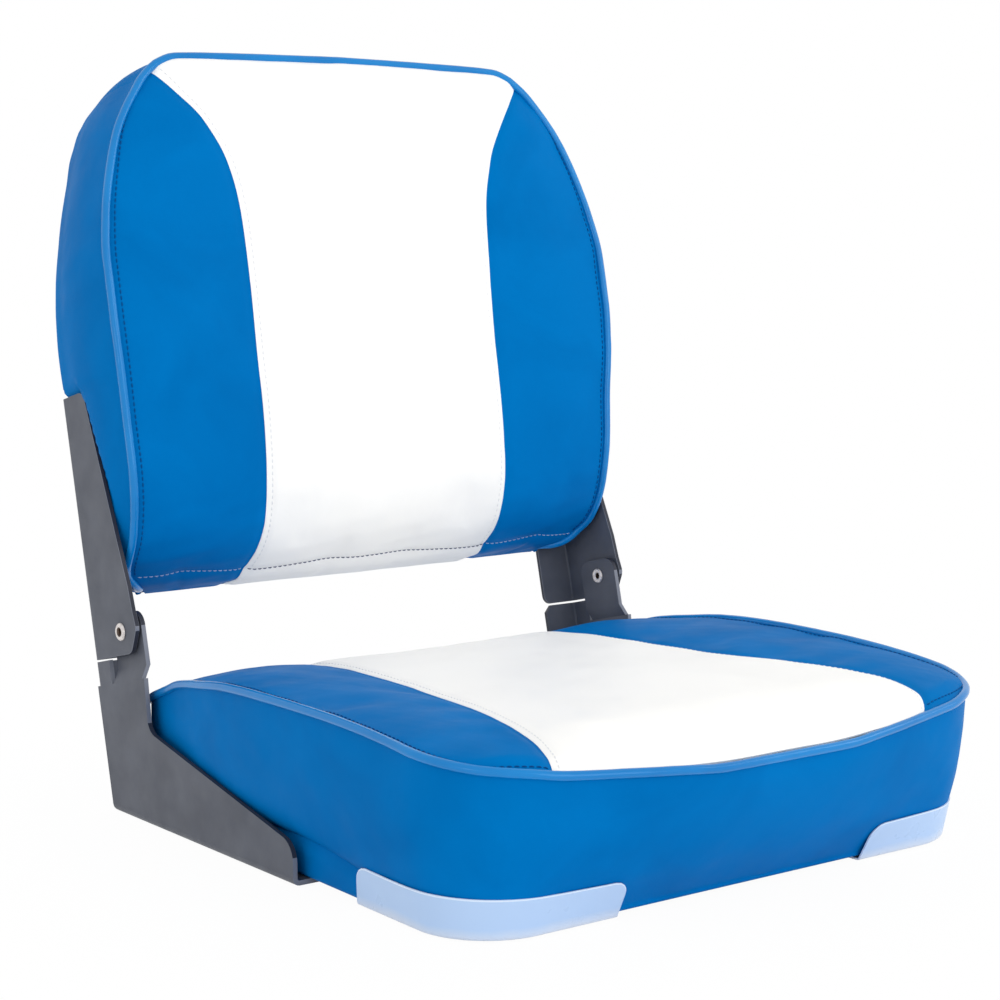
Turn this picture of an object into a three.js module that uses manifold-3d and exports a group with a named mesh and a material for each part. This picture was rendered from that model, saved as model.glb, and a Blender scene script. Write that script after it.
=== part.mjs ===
// Folding boat seat: two welted vinyl cushions joined by a pair of sheet-metal hinge brackets.
// Millimetres, +Z up, seat front towards -Y, +X to the right of a viewer facing the front.
// The origin is the middle of the flat pedestal face under the seat base.
import * as THREE from 'three';
import { mergeVertices } from 'three/addons/utils/BufferGeometryUtils.js';
import Module from 'manifold-3d';

const wasm = await Module();
wasm.setup();

// Clearances and counts
const clearance = 0.3;
const overrun = 1;
const arcStep = Math.PI / 14;
const roundSides = 18;
const smallSides = 12;
const weltSides = 6;
const normalSpread = 2;
const bendSteps = 4;

// Hinge geometry
const recline = THREE.MathUtils.degToRad(13.5);
const pivotAhead = 5;
const pivotHeight = 117.5;
const bracketHalfSpan = 203;
const sheet = 3;
const bracketInner = bracketHalfSpan - sheet;
const bendRadius = 4.5;
const flangeReach = 30;
const backPlane = 42.3;

// Cover and welt
const coverThickness = 2;
const weltRadius = 2.75;
const weltSeat = weltRadius + 2 * clearance;

// Seat cushion
const seatLength = 410;
const seatFront = 244;
const seatRear = seatLength - seatFront;
const pivotBehind = seatRear - pivotAhead;
const seatOverhang = 3;
const seatWaist = 1.8;
const seatRearTaper = 13;
const seatHalfWidth = bracketHalfSpan + seatOverhang;
const seatWideHalfWidth = seatHalfWidth + seatWaist;
const seatWideBehind = 20;
const seatRearHalfWidth = bracketHalfSpan - seatRearTaper;
const seatFrontSweep = 22;
const seatFrontRadius = 85;
const seatRearRadius = 42;
const seatWaistRadius = 900;
const seatNoseRadius = 400;
const seatNoseHalfWidth = 75;
const weltHeight = 104.5;
const bolsterBulge = 5;
const creaseHeight = 24.5;
const hemWidth = 26;
const baseSideInset = 4;
const baseRearTaper = 7;
const baseFrontInset = 39;
const baseRearInset = 2;
const baseHalfWidth = bracketInner - baseSideInset;
const baseRearHalfWidth = baseHalfWidth - baseRearTaper;
const baseFront = seatFront - baseFrontInset;
const baseBehind = seatRear - baseRearInset;
const baseFrontRadius = 45;
const baseRearRadius = 32;

// Seat base
const baseThickness = 14;
const baseRib = 4;
const basePocket = 28;
const basePocketDepth = 8;
const basePad = 45;
const basePocketRows = 4;
const insertSpacing = 127;
const insertBore = 6.4;
const insertBarrel = 9;
const insertFlange = 18;
const insertFlangeThickness = 1.5;
const insertRecess = 0.5;

// Backrest cushion, measured from the pivot in the reclined frame
const backTop = 375;
const backOverhang = 1.5;
const backHalfWidth = bracketHalfSpan + backOverhang;
const backDepth = 46;
const backBulge = 4;
const backBulgeRows = 4;
const backCornerRows = 4;
const backSideBulge = 3.5;
const backBottomShare = 0.0627;
const backBottom = backBottomShare * backTop;
const boardThickness = 10;
const boardLift = 8.5;
const boardBottom = backBottom + boardLift;
const rearCoverThickness = 1.5;

// Upper bracket
const upperHeight = 159;
const upperDrop = 15;
const upperNose = 20.5;
const upperCornerRadius = 16;
const upperTopRadius = 8;
const flangeCornerRadius = 6;

// Lower bracket
const footFront = 44;
const footNoseHeight = 25;
const footNoseRadius = 14;
const footTopHeight = 52.5;
const footTopAhead = 45;
const footTopBehind = pivotBehind - footTopAhead;
const footInnerRadius = 11;
const plateGap = 1.4;
const earHalfWidth = 19.5;
const earTop = 12;
const earRadius = 10;
const earRoot = 23.5;
const joggleHeight = 8.5;
const stripWidth = 20;

// Rivet and washer
const rivetHead = 11.6;
const rivetHeadThickness = 1.6;
const rivetShank = 6.4;
const rivetBore = 4.4;
const rivetRoll = 9;
const rivetRollThickness = 1.2;
const washerThickness = 1;
const washerOuter = 15;

// Screws
const screwHead = 8.4;
const screwHeadDepth = 2.1;
const screwShank = 4.2;
const screwLength = 11;
const recessWidth = 1.1;
const recessLength = 4.6;
const recessDepth = 1.2;
const screwInset = 10;
const lowerScrewShares = [0.09, 0.45, 0.82];
const upperScrewShares = [0.05, 0.45, 0.85];

// Corner guards
const guardThickness = 1.8;
const guardHeight = 22;
const guardSideEnd = 100;
const guardFrontEnd = 95;
const guardLip = 16;
const guardGap = 1;
const guardCornerRadius = 9;
const guardSteps = 26;
const guardEndShares = [0, 0.15, 0.4, 1];

// Tables of shares, from the front (0) to the rear (1) of the seat
const weltHeightShares = [
  [0, 0.8], [0.048, 0.866], [0.101, 0.89], [0.154, 0.913], [0.236, 0.957], [0.346, 0.99], [0.469, 1],
  [0.589, 0.995], [0.663, 0.984], [0.748, 0.946], [0.8, 0.919], [0.837, 0.886], [0.863, 0.85],
  [0.916, 0.766], [0.962, 0.71], [1, 0.67],
];
const seamHeightShares = [
  [0, 0.8], [0.048, 0.866], [0.084, 0.914], [0.125, 0.947], [0.168, 0.964], [0.224, 0.976], [0.339, 0.974],
  [0.459, 0.961], [0.577, 0.954], [0.692, 0.947], [0.75, 0.932], [0.817, 0.906], [0.889, 0.828],
  [0.962, 0.75], [1, 0.67],
];
const middleHeightShares = [
  [0, 0.8], [0.012, 0.808], [0.036, 0.871], [0.067, 0.923], [0.108, 0.962], [0.168, 0.986], [0.339, 0.989],
  [0.577, 0.968], [0.75, 0.946], [0.817, 0.912], [0.889, 0.82], [0.962, 0.748], [1, 0.67],
];
const seamWidthShares = [
  [0, 0.725], [0.048, 0.718], [0.125, 0.684], [0.224, 0.636], [0.339, 0.583], [0.459, 0.539],
  [0.577, 0.513], [0.692, 0.495], [0.817, 0.476], [1, 0.461],
];
const seatRowShares = [
  0, 0.03, 0.07, 0.13, 0.21, 0.3, 0.39, 0.48, 0.57, 0.65, 0.73, 0.8, 0.86, 0.91, 0.95, 0.98, 1,
];
const seatPanelShares = [-1, -0.66, -0.33, 0, 0.33, 0.66, 1];
const bolsterShares = [0.3, 0.6, 0.86, 1];
const boxingLevelShares = [1, 0.72, 0.42, 0.18, 0];
const boxingLeanShares = [1, 0.84, 0.45, 0.14, 0.07];

// Backrest profiles from the bottom rear edge up the front to the top edge. Each row holds shares of
// the half width, the depth and the height: seam x, y, z, then side welt x, y, z, then middle y, z.
const backProfileShares = [
  [0.504, 0.796, backBottomShare, 0.807, 0.674, 0.0653, 0.796, backBottomShare],
  [0.501, 0.478, 0.0667, 0.885, 0.37, 0.0773, 0.478, 0.0667],
  [0.496, 0.13, 0.088, 0.932, 0.174, 0.0933, 0.11, 0.0867],
  [0.492, -0.196, 0.117, 0.953, -0.087, 0.119, -0.217, 0.115],
  [0.489, -0.5, 0.16, 0.957, -0.348, 0.155, -0.522, 0.156],
  [0.489, -0.674, 0.213, 0.961, -0.543, 0.203, -0.707, 0.208],
  [0.487, -0.772, 0.275, 0.968, -0.696, 0.267, -0.804, 0.272],
  [0.486, -0.859, 0.357, 0.978, -0.798, 0.351, -0.891, 0.352],
  [0.487, -0.913, 0.448, 0.992, -0.933, 0.448, -0.957, 0.448],
  [0.487, -0.957, 0.533, 0.999, -0.989, 0.533, -1.011, 0.533],
  [0.491, -1.015, 0.621, 0.999, -1.004, 0.621, -1.076, 0.621],
  [0.501, -1.087, 0.715, 0.979, -0.987, 0.704, -1.141, 0.715],
  [0.538, -1.137, 0.803, 0.939, -0.967, 0.787, -1.174, 0.805],
  [0.601, -1.13, 0.869, 0.895, -0.941, 0.851, -1.152, 0.888],
  [0.68, -1.022, 0.923, 0.851, -0.93, 0.893, -1.054, 0.952],
  [0.746, -0.891, 0.964, 0.812, -0.92, 0.923, -0.859, 0.999],
];
const backTopEdgeShares = [
  [0, 0.999], [0.25, 0.997], [0.49, 0.994], [0.645, 0.99], [0.714, 0.977], [0.746, 0.964],
  [0.78, 0.946], [0.812, 0.923],
];
const backRearInsetShares = [
  [0, 0], [0.43, 0.008], [0.565, 0.024], [0.653, 0.047], [0.728, 0.06], [0.8, 0.064], [0.875, 0.058],
  [0.93, 0.047], [1, 0.035],
];
const backRearDropShares = [[0, 0], [0.8, 0], [0.923, 0.012], [1, 0.012]];
const backPanelShares = [-1, -0.85, -0.6, -0.3, 0, 0.3, 0.6, 0.85, 1];
const backBoxingShares = [0, 0.3, 0.6, 1];

// Outline of the upper bracket's front edge, from its top down to the nose at the pivot, as shares of
// the rear plane's depth and the bracket's height.
const upperEdgeShares = [[0.25, 0.94], [-0.02, 0.648], [-0.234, 0.368], [-0.39, 0.175], [-0.43, 0.073]];

// Colours
const blueVinyl = new THREE.MeshStandardMaterial({ color: 0x0072ba, roughness: 0.42, metalness: 0 });
const blueWelt = new THREE.MeshStandardMaterial({ color: 0x0a7cc4, roughness: 0.4, metalness: 0 });
const whiteVinyl = new THREE.MeshStandardMaterial({ color: 0xf8f8f4, roughness: 0.45, metalness: 0 });
const paintedSteel = new THREE.MeshStandardMaterial({ color: 0x64656c, roughness: 0.5, metalness: 0.1 });
const brightSteel = new THREE.MeshStandardMaterial({ color: 0xc9c6c2, roughness: 0.3, metalness: 1 });
const nylon = new THREE.MeshStandardMaterial({ color: 0x202124, roughness: 0.6, metalness: 0 });
const darkPlastic = new THREE.MeshStandardMaterial({ color: 0x2b2d31, roughness: 0.6, metalness: 0 });
const foam = new THREE.MeshStandardMaterial({ color: 0xe9dfb4, roughness: 0.95, metalness: 0 });
const plywood = new THREE.MeshStandardMaterial({ color: 0xb98d58, roughness: 0.8, metalness: 0 });
const guardPlastic = new THREE.MeshStandardMaterial({ color: 0xbed2eb, roughness: 0.25, metalness: 0 });

// Small tools for numbers and points
const lerp = THREE.MathUtils.lerp;
const mirrorSides = [[-1, 'left'], [1, 'right']];

function tableValue(table, share) {
  const last = table.length - 1;
  if (share <= table[0][0]) {
    return table[0][1];
  }
  for (let i = 0; i < last; i += 1) {
    const [from, low] = table[i];
    const [to, high] = table[i + 1];
    if (share <= to) {
      return lerp(low, high, (share - from) / (to - from));
    }
  }
  return table[last][1];
}

function roundedOutline(corners) {
  const points = [];
  const middles = [];
  corners.forEach(([x, y, radius], i) => {
    const here = new THREE.Vector2(x, y);
    if (radius === 0) {
      middles.push(points.length);
      points.push(here);
      return;
    }
    const previous = corners.at(i - 1);
    const following = corners[(i + 1) % corners.length];
    const back = new THREE.Vector2(previous[0], previous[1]).sub(here).normalize();
    const ahead = new THREE.Vector2(following[0], following[1]).sub(here).normalize();
    const half = Math.acos(THREE.MathUtils.clamp(back.dot(ahead), -1, 1)) / 2;
    const reach = radius / Math.tan(half);
    const centre = back.clone().add(ahead).normalize().multiplyScalar(radius / Math.sin(half)).add(here);
    const start = back.clone().multiplyScalar(reach).add(here).sub(centre).angle();
    const end = ahead.clone().multiplyScalar(reach).add(here).sub(centre).angle();
    const sweep = THREE.MathUtils.euclideanModulo(end - start + Math.PI, 2 * Math.PI) - Math.PI;
    const steps = 2 * Math.max(1, Math.round(Math.abs(sweep) / arcStep / 2));
    for (let k = 0; k <= steps; k += 1) {
      const angle = start + (sweep * k) / steps;
      if (k === steps / 2) {
        middles.push(points.length);
      }
      points.push(new THREE.Vector2(Math.cos(angle), Math.sin(angle)).multiplyScalar(radius).add(centre));
    }
  });
  return { points, middles };
}

function chainBetween(outline, from, to) {
  const start = outline.middles[from];
  const end = outline.middles[to];
  const count = THREE.MathUtils.euclideanModulo(end - start, outline.points.length);
  return Array.from({ length: count + 1 }, (_, k) => outline.points[(start + k) % outline.points.length]);
}

function pointOnChain(chain, axis, value) {
  const rising = chain.at(-1)[axis] > chain[0][axis];
  for (let i = 0; i < chain.length - 1; i += 1) {
    const a = chain[i];
    const b = chain[i + 1];
    const reached = rising ? value <= b[axis] : value >= b[axis];
    if (reached && b[axis] !== a[axis]) {
      return a.clone().lerp(b, THREE.MathUtils.clamp((value - a[axis]) / (b[axis] - a[axis]), 0, 1));
    }
  }
  return chain.at(-1).clone();
}

// Solids from points
function closedGeometry(points, triangles) {
  let volume = 0;
  triangles.forEach(([a, b, c]) => {
    volume += points[a].dot(points[b].clone().cross(points[c]));
  });
  const order = volume > 0 ? [0, 1, 2] : [0, 2, 1];
  const geometry = new THREE.BufferGeometry();
  geometry.setFromPoints(points);
  geometry.setIndex(triangles.flatMap((triangle) => order.map((k) => triangle[k])));
  geometry.computeVertexNormals();
  return geometry;
}

function bandTriangles(first, second, joined) {
  const triangles = [];
  const count = joined ? first.length : first.length - 1;
  for (let i = 0; i < count; i += 1) {
    const next = (i + 1) % first.length;
    triangles.push([first[i], first[next], second[next]], [first[i], second[next], second[i]]);
  }
  return triangles;
}

// Sections are loops whose second half runs back along the first, so each end closes as a strip.
function loftGeometry(sections, joined) {
  const size = sections[0].length;
  const points = sections.flat();
  const loop = (k) => Array.from({ length: size }, (_, i) => (k % sections.length) * size + i);
  const triangles = [];
  const bands = joined ? sections.length : sections.length - 1;
  for (let k = 0; k < bands; k += 1) {
    triangles.push(...bandTriangles(loop(k), loop(k + 1), true));
  }
  if (!joined) {
    [[0, [0, 1, 2]], [sections.length - 1, [0, 2, 1]]].forEach(([k, order]) => {
      const ring = loop(k);
      for (let i = 0; i < size / 2 - 1; i += 1) {
        const far = size - 1 - i;
        [[ring[i], ring[far], ring[i + 1]], [ring[i + 1], ring[far], ring[far - 1]]].forEach((triangle) => {
          triangles.push(order.map((n) => triangle[n]));
        });
      }
    });
  }
  return closedGeometry(points, triangles);
}

function panelGeometry(outer, inner, from, to) {
  const sections = outer.map((row, j) => [
    ...row.slice(from, to + 1),
    ...inner[j].slice(from, to + 1).reverse(),
  ]);
  return loftGeometry(sections, false);
}

function perimeterCells(rows, columns) {
  const cells = [];
  for (let i = 0; i < columns - 1; i += 1) {
    cells.push([0, i]);
  }
  for (let j = 0; j < rows - 1; j += 1) {
    cells.push([j, columns - 1]);
  }
  for (let i = columns - 1; i > 0; i -= 1) {
    cells.push([rows - 1, i]);
  }
  for (let j = rows - 1; j > 0; j -= 1) {
    cells.push([j, 0]);
  }
  return cells;
}

function filledGeometry(grid, rings) {
  const columns = grid[0].length;
  const points = grid.flat();
  const triangles = [];
  for (let j = 0; j < grid.length - 1; j += 1) {
    const lower = Array.from({ length: columns }, (_, i) => j * columns + i);
    const cells = bandTriangles(lower.map((n) => n + columns), lower, false);
    triangles.push(...cells.map(([a, b, c]) => [a, c, b]));
  }
  let loop = perimeterCells(grid.length, columns).map(([j, i]) => j * columns + i);
  rings.forEach((ring) => {
    const next = ring.map((point) => points.push(point) - 1);
    triangles.push(...bandTriangles(next, loop, true));
    loop = next;
  });
  const middle = rings.at(-1).reduce((sum, point) => sum.add(point), new THREE.Vector3());
  const centre = points.push(middle.divideScalar(loop.length)) - 1;
  loop.forEach((n, i) => triangles.push([centre, loop[(i + 1) % loop.length], n]));
  return closedGeometry(points, triangles);
}

// Solids cut and joined from prisms and turned shapes
function solidOf(geometry) {
  const bare = geometry.clone();
  bare.deleteAttribute('normal');
  bare.deleteAttribute('uv');
  const merged = mergeVertices(bare);
  return new wasm.Manifold(new wasm.Mesh({
    numProp: 3,
    vertProperties: merged.attributes.position.array,
    triVerts: new Uint32Array(merged.index.array),
  }));
}

function geometryOf(solid) {
  const mesh = solid.getMesh();
  const geometry = new THREE.BufferGeometry();
  geometry.setAttribute('position', new THREE.BufferAttribute(new Float32Array(mesh.vertProperties), 3));
  geometry.setIndex(new THREE.BufferAttribute(new Uint32Array(mesh.triVerts), 1));
  geometry.computeVertexNormals();
  return geometry;
}

const xAxis = new THREE.Vector3(1, 0, 0);
const yAxis = new THREE.Vector3(0, 1, 0);
const zAxis = new THREE.Vector3(0, 0, 1);

function prism(points, axis, from, to) {
  const shape = new THREE.Shape(points.map((point) => new THREE.Vector2(point.x, point.y)));
  const geometry = new THREE.ExtrudeGeometry(shape, { depth: to - from, bevelEnabled: false, steps: 1 });
  const basis = new THREE.Matrix4();
  if (axis === 'x') {
    geometry.translate(0, 0, from);
    basis.makeBasis(yAxis, zAxis, xAxis);
  } else if (axis === 'y') {
    geometry.translate(0, 0, -to);
    basis.makeBasis(xAxis, zAxis, yAxis.clone().negate());
  } else {
    geometry.translate(0, 0, from);
  }
  return geometry.applyMatrix4(basis);
}

function turned(profile, sides = roundSides) {
  const points = profile.map(([radius, height]) => new THREE.Vector2(radius, height));
  return new THREE.LatheGeometry(points, sides).rotateX(Math.PI / 2);
}

function drill(diameter, from, to) {
  return turned([[0, from], [diameter / 2, from], [diameter / 2, to], [0, to]], smallSides);
}

const box = (x0, x1, y0, y1, z0, z1) => new THREE.BoxGeometry(x1 - x0, y1 - y0, z1 - z0)
  .translate((x0 + x1) / 2, (y0 + y1) / 2, (z0 + z1) / 2);

// Surfaces of a cushion: normals of a grid, and the frame at each point of its welt line
function gridNormals(grid) {
  const rows = grid.length;
  const columns = grid[0].length;
  return grid.map((row, j) => row.map((_, i) => {
    const along = grid[Math.min(j + 1, rows - 1)][i].clone().sub(grid[Math.max(j - 1, 0)][i]);
    const across = row[Math.min(i + 1, columns - 1)].clone().sub(row[Math.max(i - 1, 0)]);
    return across.cross(along).normalize();
  }));
}

function weltFrames(grid, normals) {
  const cells = perimeterCells(grid.length, grid[0].length);
  const at = (k) => cells[(k + cells.length) % cells.length];
  return cells.map(([j, i], k) => {
    const [j0, i0] = at(k - 1);
    const [j1, i1] = at(k + 1);
    const point = grid[j][i].clone();
    const arriving = point.clone().sub(grid[j0][i0]).normalize();
    const leaving = grid[j1][i1].clone().sub(point).normalize();
    const tangent = arriving.clone().add(leaving).normalize();
    const normal = new THREE.Vector3();
    for (let near = -normalSpread; near <= normalSpread; near += 1) {
      const [row, column] = at(k + near);
      normal.add(normals[row][column]);
    }
    normal.addScaledVector(tangent, -normal.dot(tangent)).normalize();
    const outward = tangent.clone().cross(normal).normalize();
    return { row: j, column: i, point, normal, outward, mitre: 1 / tangent.dot(leaving) };
  });
}

function weltSection(frame) {
  return Array.from({ length: weltSides }, (_, k) => {
    const angle = (2 * Math.PI * k) / weltSides;
    return frame.point.clone()
      .addScaledVector(frame.outward, weltRadius * Math.cos(angle))
      .addScaledVector(frame.normal, weltRadius * Math.sin(angle));
  });
}

// The outer and inner faces of the cover over a surface, and the foam that fills it to a clearance
function coverLayers(grid, normals, frames) {
  const middle = grid.map((row) => row.map((point) => point.clone()));
  frames.forEach(({ row, column, outward, mitre }) => {
    middle[row][column].addScaledVector(outward, -weltSeat * mitre);
  });
  const offset = (distance) => middle.map((row, j) => row.map((point, i) => (
    point.clone().addScaledVector(normals[j][i], distance)
  )));
  const core = offset(-coverThickness / 2 - 2 * clearance);
  frames.forEach(({ row, column, outward, mitre }) => {
    core[row][column].addScaledVector(outward, -2 * clearance * mitre);
  });
  return { outer: offset(coverThickness / 2), inner: offset(-coverThickness / 2), core };
}

// Splits one edge column of a panel from its neighbour by half the clearance
function withoutSeam(grid, column, direction) {
  return grid.map((row) => row.map((point, i) => {
    if (i !== column) {
      return point;
    }
    return point.clone().lerp(row[i + direction], clearance / 2 / point.distanceTo(row[i + direction]));
  }));
}

function coverPanels(layers, bolsterCells, panelCells) {
  const left = bolsterCells;
  const right = bolsterCells + panelCells;
  const end = right + bolsterCells;
  const cut = (from, to) => [layers.outer, layers.inner].map((grid) => {
    const opened = from === 0 ? grid : withoutSeam(grid, from, 1);
    return to === end ? opened : withoutSeam(opened, to, -1);
  });
  const build = (from, to) => {
    const [outer, inner] = cut(from, to);
    return panelGeometry(outer, inner, from, to);
  };
  return { left: build(0, left), middle: build(left, right), right: build(right, end) };
}

// Seat cushion
function seatCorners(halfRear, rear, rearRadius, waist, halfFront, front, frontRadius, nose) {
  const right = [[halfFront, front, frontRadius], ...waist, [halfRear, rear, rearRadius]];
  const left = right.map(([x, y, radius]) => [-x, y, radius]).reverse();
  return [...nose, ...right, ...left];
}

const seatOutline = roundedOutline(seatCorners(
  seatRearHalfWidth, seatRear, seatRearRadius,
  [[seatWideHalfWidth, seatWideBehind, seatWaistRadius]],
  seatHalfWidth, seatFrontSweep - seatFront, seatFrontRadius,
  [[-seatNoseHalfWidth, -seatFront, seatNoseRadius], [seatNoseHalfWidth, -seatFront, seatNoseRadius]],
));
// The outline of the base, drawn in by an inset on every side
function baseChainsOf(inset) {
  const outline = roundedOutline(seatCorners(
    baseRearHalfWidth - inset, baseBehind - inset, baseRearRadius - inset, [],
    baseHalfWidth - inset, inset - baseFront, baseFrontRadius - inset, [],
  ));
  return {
    front: chainBetween(outline, 3, 0),
    side: chainBetween(outline, 0, 1),
    rear: chainBetween(outline, 1, 2).reverse(),
  };
}

const seatChains = {
  front: chainBetween(seatOutline, 7, 2),
  side: chainBetween(seatOutline, 2, 4),
  rear: chainBetween(seatOutline, 4, 5).reverse(),
};
const baseChains = baseChainsOf(0);

const depthShare = (y) => (y + seatFront) / seatLength;
const seatWeltHeight = (y) => weltHeight * tableValue(weltHeightShares, depthShare(y));
const seatSeamHeight = (y) => weltHeight * tableValue(seamHeightShares, depthShare(y));
const seatMiddleHeight = (y) => weltHeight * tableValue(middleHeightShares, depthShare(y));
const seatSeamWidth = (y) => seatHalfWidth * tableValue(seamWidthShares, depthShare(y));

// Columns run from the left welt to the right: share is how far a point lies from its seam to the
// welt, or across the middle panel
const seatColumns = [
  ...bolsterShares.toReversed().map((share) => ({ side: -1, bolster: share })),
  ...seatPanelShares.map((share) => ({ side: share, bolster: 0 })),
  ...bolsterShares.map((share) => ({ side: 1, bolster: share })),
];

function seatEdgePoint(chain, column) {
  const reach = chain.at(-1).x;
  const seam = pointOnChain(chain, 'x', seatSeamWidth(chain[Math.floor(chain.length / 2)].y));
  const edge = lerp(Math.abs(column.side) * seam.x, reach, column.bolster);
  return pointOnChain(chain, 'x', Math.sign(column.side) * edge);
}

const seatFrontPoints = seatColumns.map((column) => seatEdgePoint(seatChains.front, column));
const seatRearPoints = seatColumns.map((column) => seatEdgePoint(seatChains.rear, column));

function seatPlanPoint(column, i, share) {
  const sideY = lerp(seatChains.side[0].y, seatChains.side.at(-1).y, share);
  const welt = pointOnChain(seatChains.side, 'y', sideY);
  if (column.bolster === 1) {
    return new THREE.Vector2(column.side * welt.x, welt.y);
  }
  const seamIndex = bolsterShares.length;
  const seamY = lerp(seatFrontPoints[seamIndex].y, seatRearPoints[seamIndex].y, share);
  const seam = new THREE.Vector2(seatSeamWidth(seamY), seamY);
  const linear = (s) => {
    const y = lerp(seatChains.side[0].y, seatChains.side.at(-1).y, s);
    const outer = pointOnChain(seatChains.side, 'y', y);
    const innerY = lerp(seatFrontPoints[seamIndex].y, seatRearPoints[seamIndex].y, s);
    const middleY = lerp(-seatFront, seatRear, s);
    const inner = new THREE.Vector2(seatSeamWidth(innerY), lerp(middleY, innerY, Math.abs(column.side)));
    inner.x *= Math.abs(column.side);
    return inner.lerp(outer, column.bolster);
  };
  const sign = Math.sign(column.side);
  const here = column.bolster > 0 || column.side !== 1 ? linear(share) : seam;
  const mirrored = (point) => new THREE.Vector2(sign * point.x, point.y);
  const point = mirrored(here);
  point.addScaledVector(seatFrontPoints[i].clone().sub(mirrored(linear(0))), (1 - share) ** 3);
  point.addScaledVector(seatRearPoints[i].clone().sub(mirrored(linear(1))), share ** 3);
  return point;
}

function seatTopGrid() {
  return seatRowShares.map((share) => seatColumns.map((column, i) => {
    const { x, y } = seatPlanPoint(column, i, share);
    const onEdge = share === 0 || share === 1 || column.bolster === 1;
    if (onEdge) {
      return new THREE.Vector3(x, y, seatWeltHeight(y));
    }
    if (column.bolster > 0) {
      const level = lerp(seatSeamHeight(y), seatWeltHeight(y), column.bolster);
      return new THREE.Vector3(x, y, level + bolsterBulge * Math.sin(Math.PI * column.bolster));
    }
    return new THREE.Vector3(x, y, lerp(seatMiddleHeight(y), seatSeamHeight(y), column.side ** 2));
  }));
}

const seatGrid = seatTopGrid();
const seatNormals = gridNormals(seatGrid);
const seatFrames = weltFrames(seatGrid, seatNormals);
const seatLayers = coverLayers(seatGrid, seatNormals, seatFrames);

// Points of the inset base outline that lie under the points of the welt line, at one height
function baseRing(inset, height) {
  const chains = baseChainsOf(inset);
  return seatFrames.map(({ row, column }) => {
    if (column === 0 || column === seatColumns.length - 1) {
      const y = lerp(chains.side[0].y, chains.side.at(-1).y, seatRowShares[row]);
      const { x } = pointOnChain(chains.side, 'y', y);
      return new THREE.Vector3(column === 0 ? -x : x, y, height);
    }
    const [top, bottom] = row === 0 ? [seatChains.front, chains.front] : [seatChains.rear, chains.rear];
    const edge = row === 0 ? seatFrontPoints[column] : seatRearPoints[column];
    const { x, y } = pointOnChain(bottom, 'x', (edge.x / top.at(-1).x) * bottom.at(-1).x);
    return new THREE.Vector3(x, y, height);
  });
}

// The middle of three points of an outline that runs anticlockwise, moved inwards by a distance from both
// edges that meet there
function insetPoint(before, point, after, distance) {
  const here = new THREE.Vector2(...point);
  const arriving = here.clone().sub(new THREE.Vector2(...before)).normalize();
  const leaving = new THREE.Vector2(...after).sub(here).normalize();
  const tangent = (arriving.length() > 0 ? arriving.clone().add(leaving) : leaving.clone()).normalize();
  const reach = distance / tangent.dot(leaving.length() > 0 ? leaving : arriving);
  return [here.x - tangent.y * reach, here.y + tangent.x * reach];
}

function insetRing(ring, distance) {
  return ring.map((point, k) => {
    const before = ring.at(k - 1);
    const after = ring[(k + 1) % ring.length];
    const [x, y] = insetPoint([before.x, before.y], [point.x, point.y], [after.x, after.y], distance);
    return new THREE.Vector3(x, y, point.z);
  });
}

// Rings of the boxing's outer face, from the welt down to the hem. Behind the bracket's toe the lower
// rings stay inside the bracket's side plate.
const hemRing = baseRing(0, 0);

function boxingRing(levelShare, leanShare) {
  return seatFrames.map(({ point }, k) => {
    const top = point.z - weltSeat;
    const x = lerp(hemRing[k].x, point.x, leanShare);
    const y = lerp(hemRing[k].y, point.y, leanShare);
    const besideBracket = y > -footFront - 2 * hemWidth && levelShare <= boxingLevelShares[2];
    const limit = besideBracket ? bracketInner - 2 * clearance : Math.abs(x);
    const narrowed = Math.sign(x) * Math.min(Math.abs(x), limit);
    return new THREE.Vector3(narrowed, y, lerp(creaseHeight, top, levelShare));
  });
}

const boxingRings = [...boxingLevelShares.map((share, k) => boxingRing(share, boxingLeanShares[k])), hemRing];

function seatBoxing() {
  const hemInner = baseRing(hemWidth, 0);
  const innerRings = boxingRings.map((ring) => insetRing(ring, coverThickness));
  innerRings.at(-1).forEach((point) => point.setZ(coverThickness));
  const hemInnerTop = hemInner.map((point) => point.clone().setZ(coverThickness));
  const loops = [...boxingRings, hemInner, hemInnerTop, ...innerRings.toReversed()];
  let solid = solidOf(loftGeometry(seatFrames.map((_, k) => loops.map((loop) => loop[k])), true));
  lowerScrewPlaces().forEach(({ x, y }) => {
    const hole = drill(screwShank + 2 * clearance, -overrun, coverThickness + overrun);
    solid = solid.subtract(solidOf(hole.translate(x, y, 0)));
  });
  return geometryOf(solid);
}

const baseTop = baseThickness;

function seatFoam() {
  const rings = boxingRings.slice(0, -1).map((ring) => insetRing(ring, coverThickness + clearance));
  const share = (baseTop + clearance - coverThickness) / (creaseHeight - coverThickness);
  const lowest = hemRing.map((point, k) => point.clone().lerp(boxingRings.at(-2)[k], share));
  lowest.forEach((point) => point.setZ(baseTop + clearance));
  rings.push(insetRing(lowest, coverThickness + 3 * clearance));
  return filledGeometry(seatLayers.core, rings);
}

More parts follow.
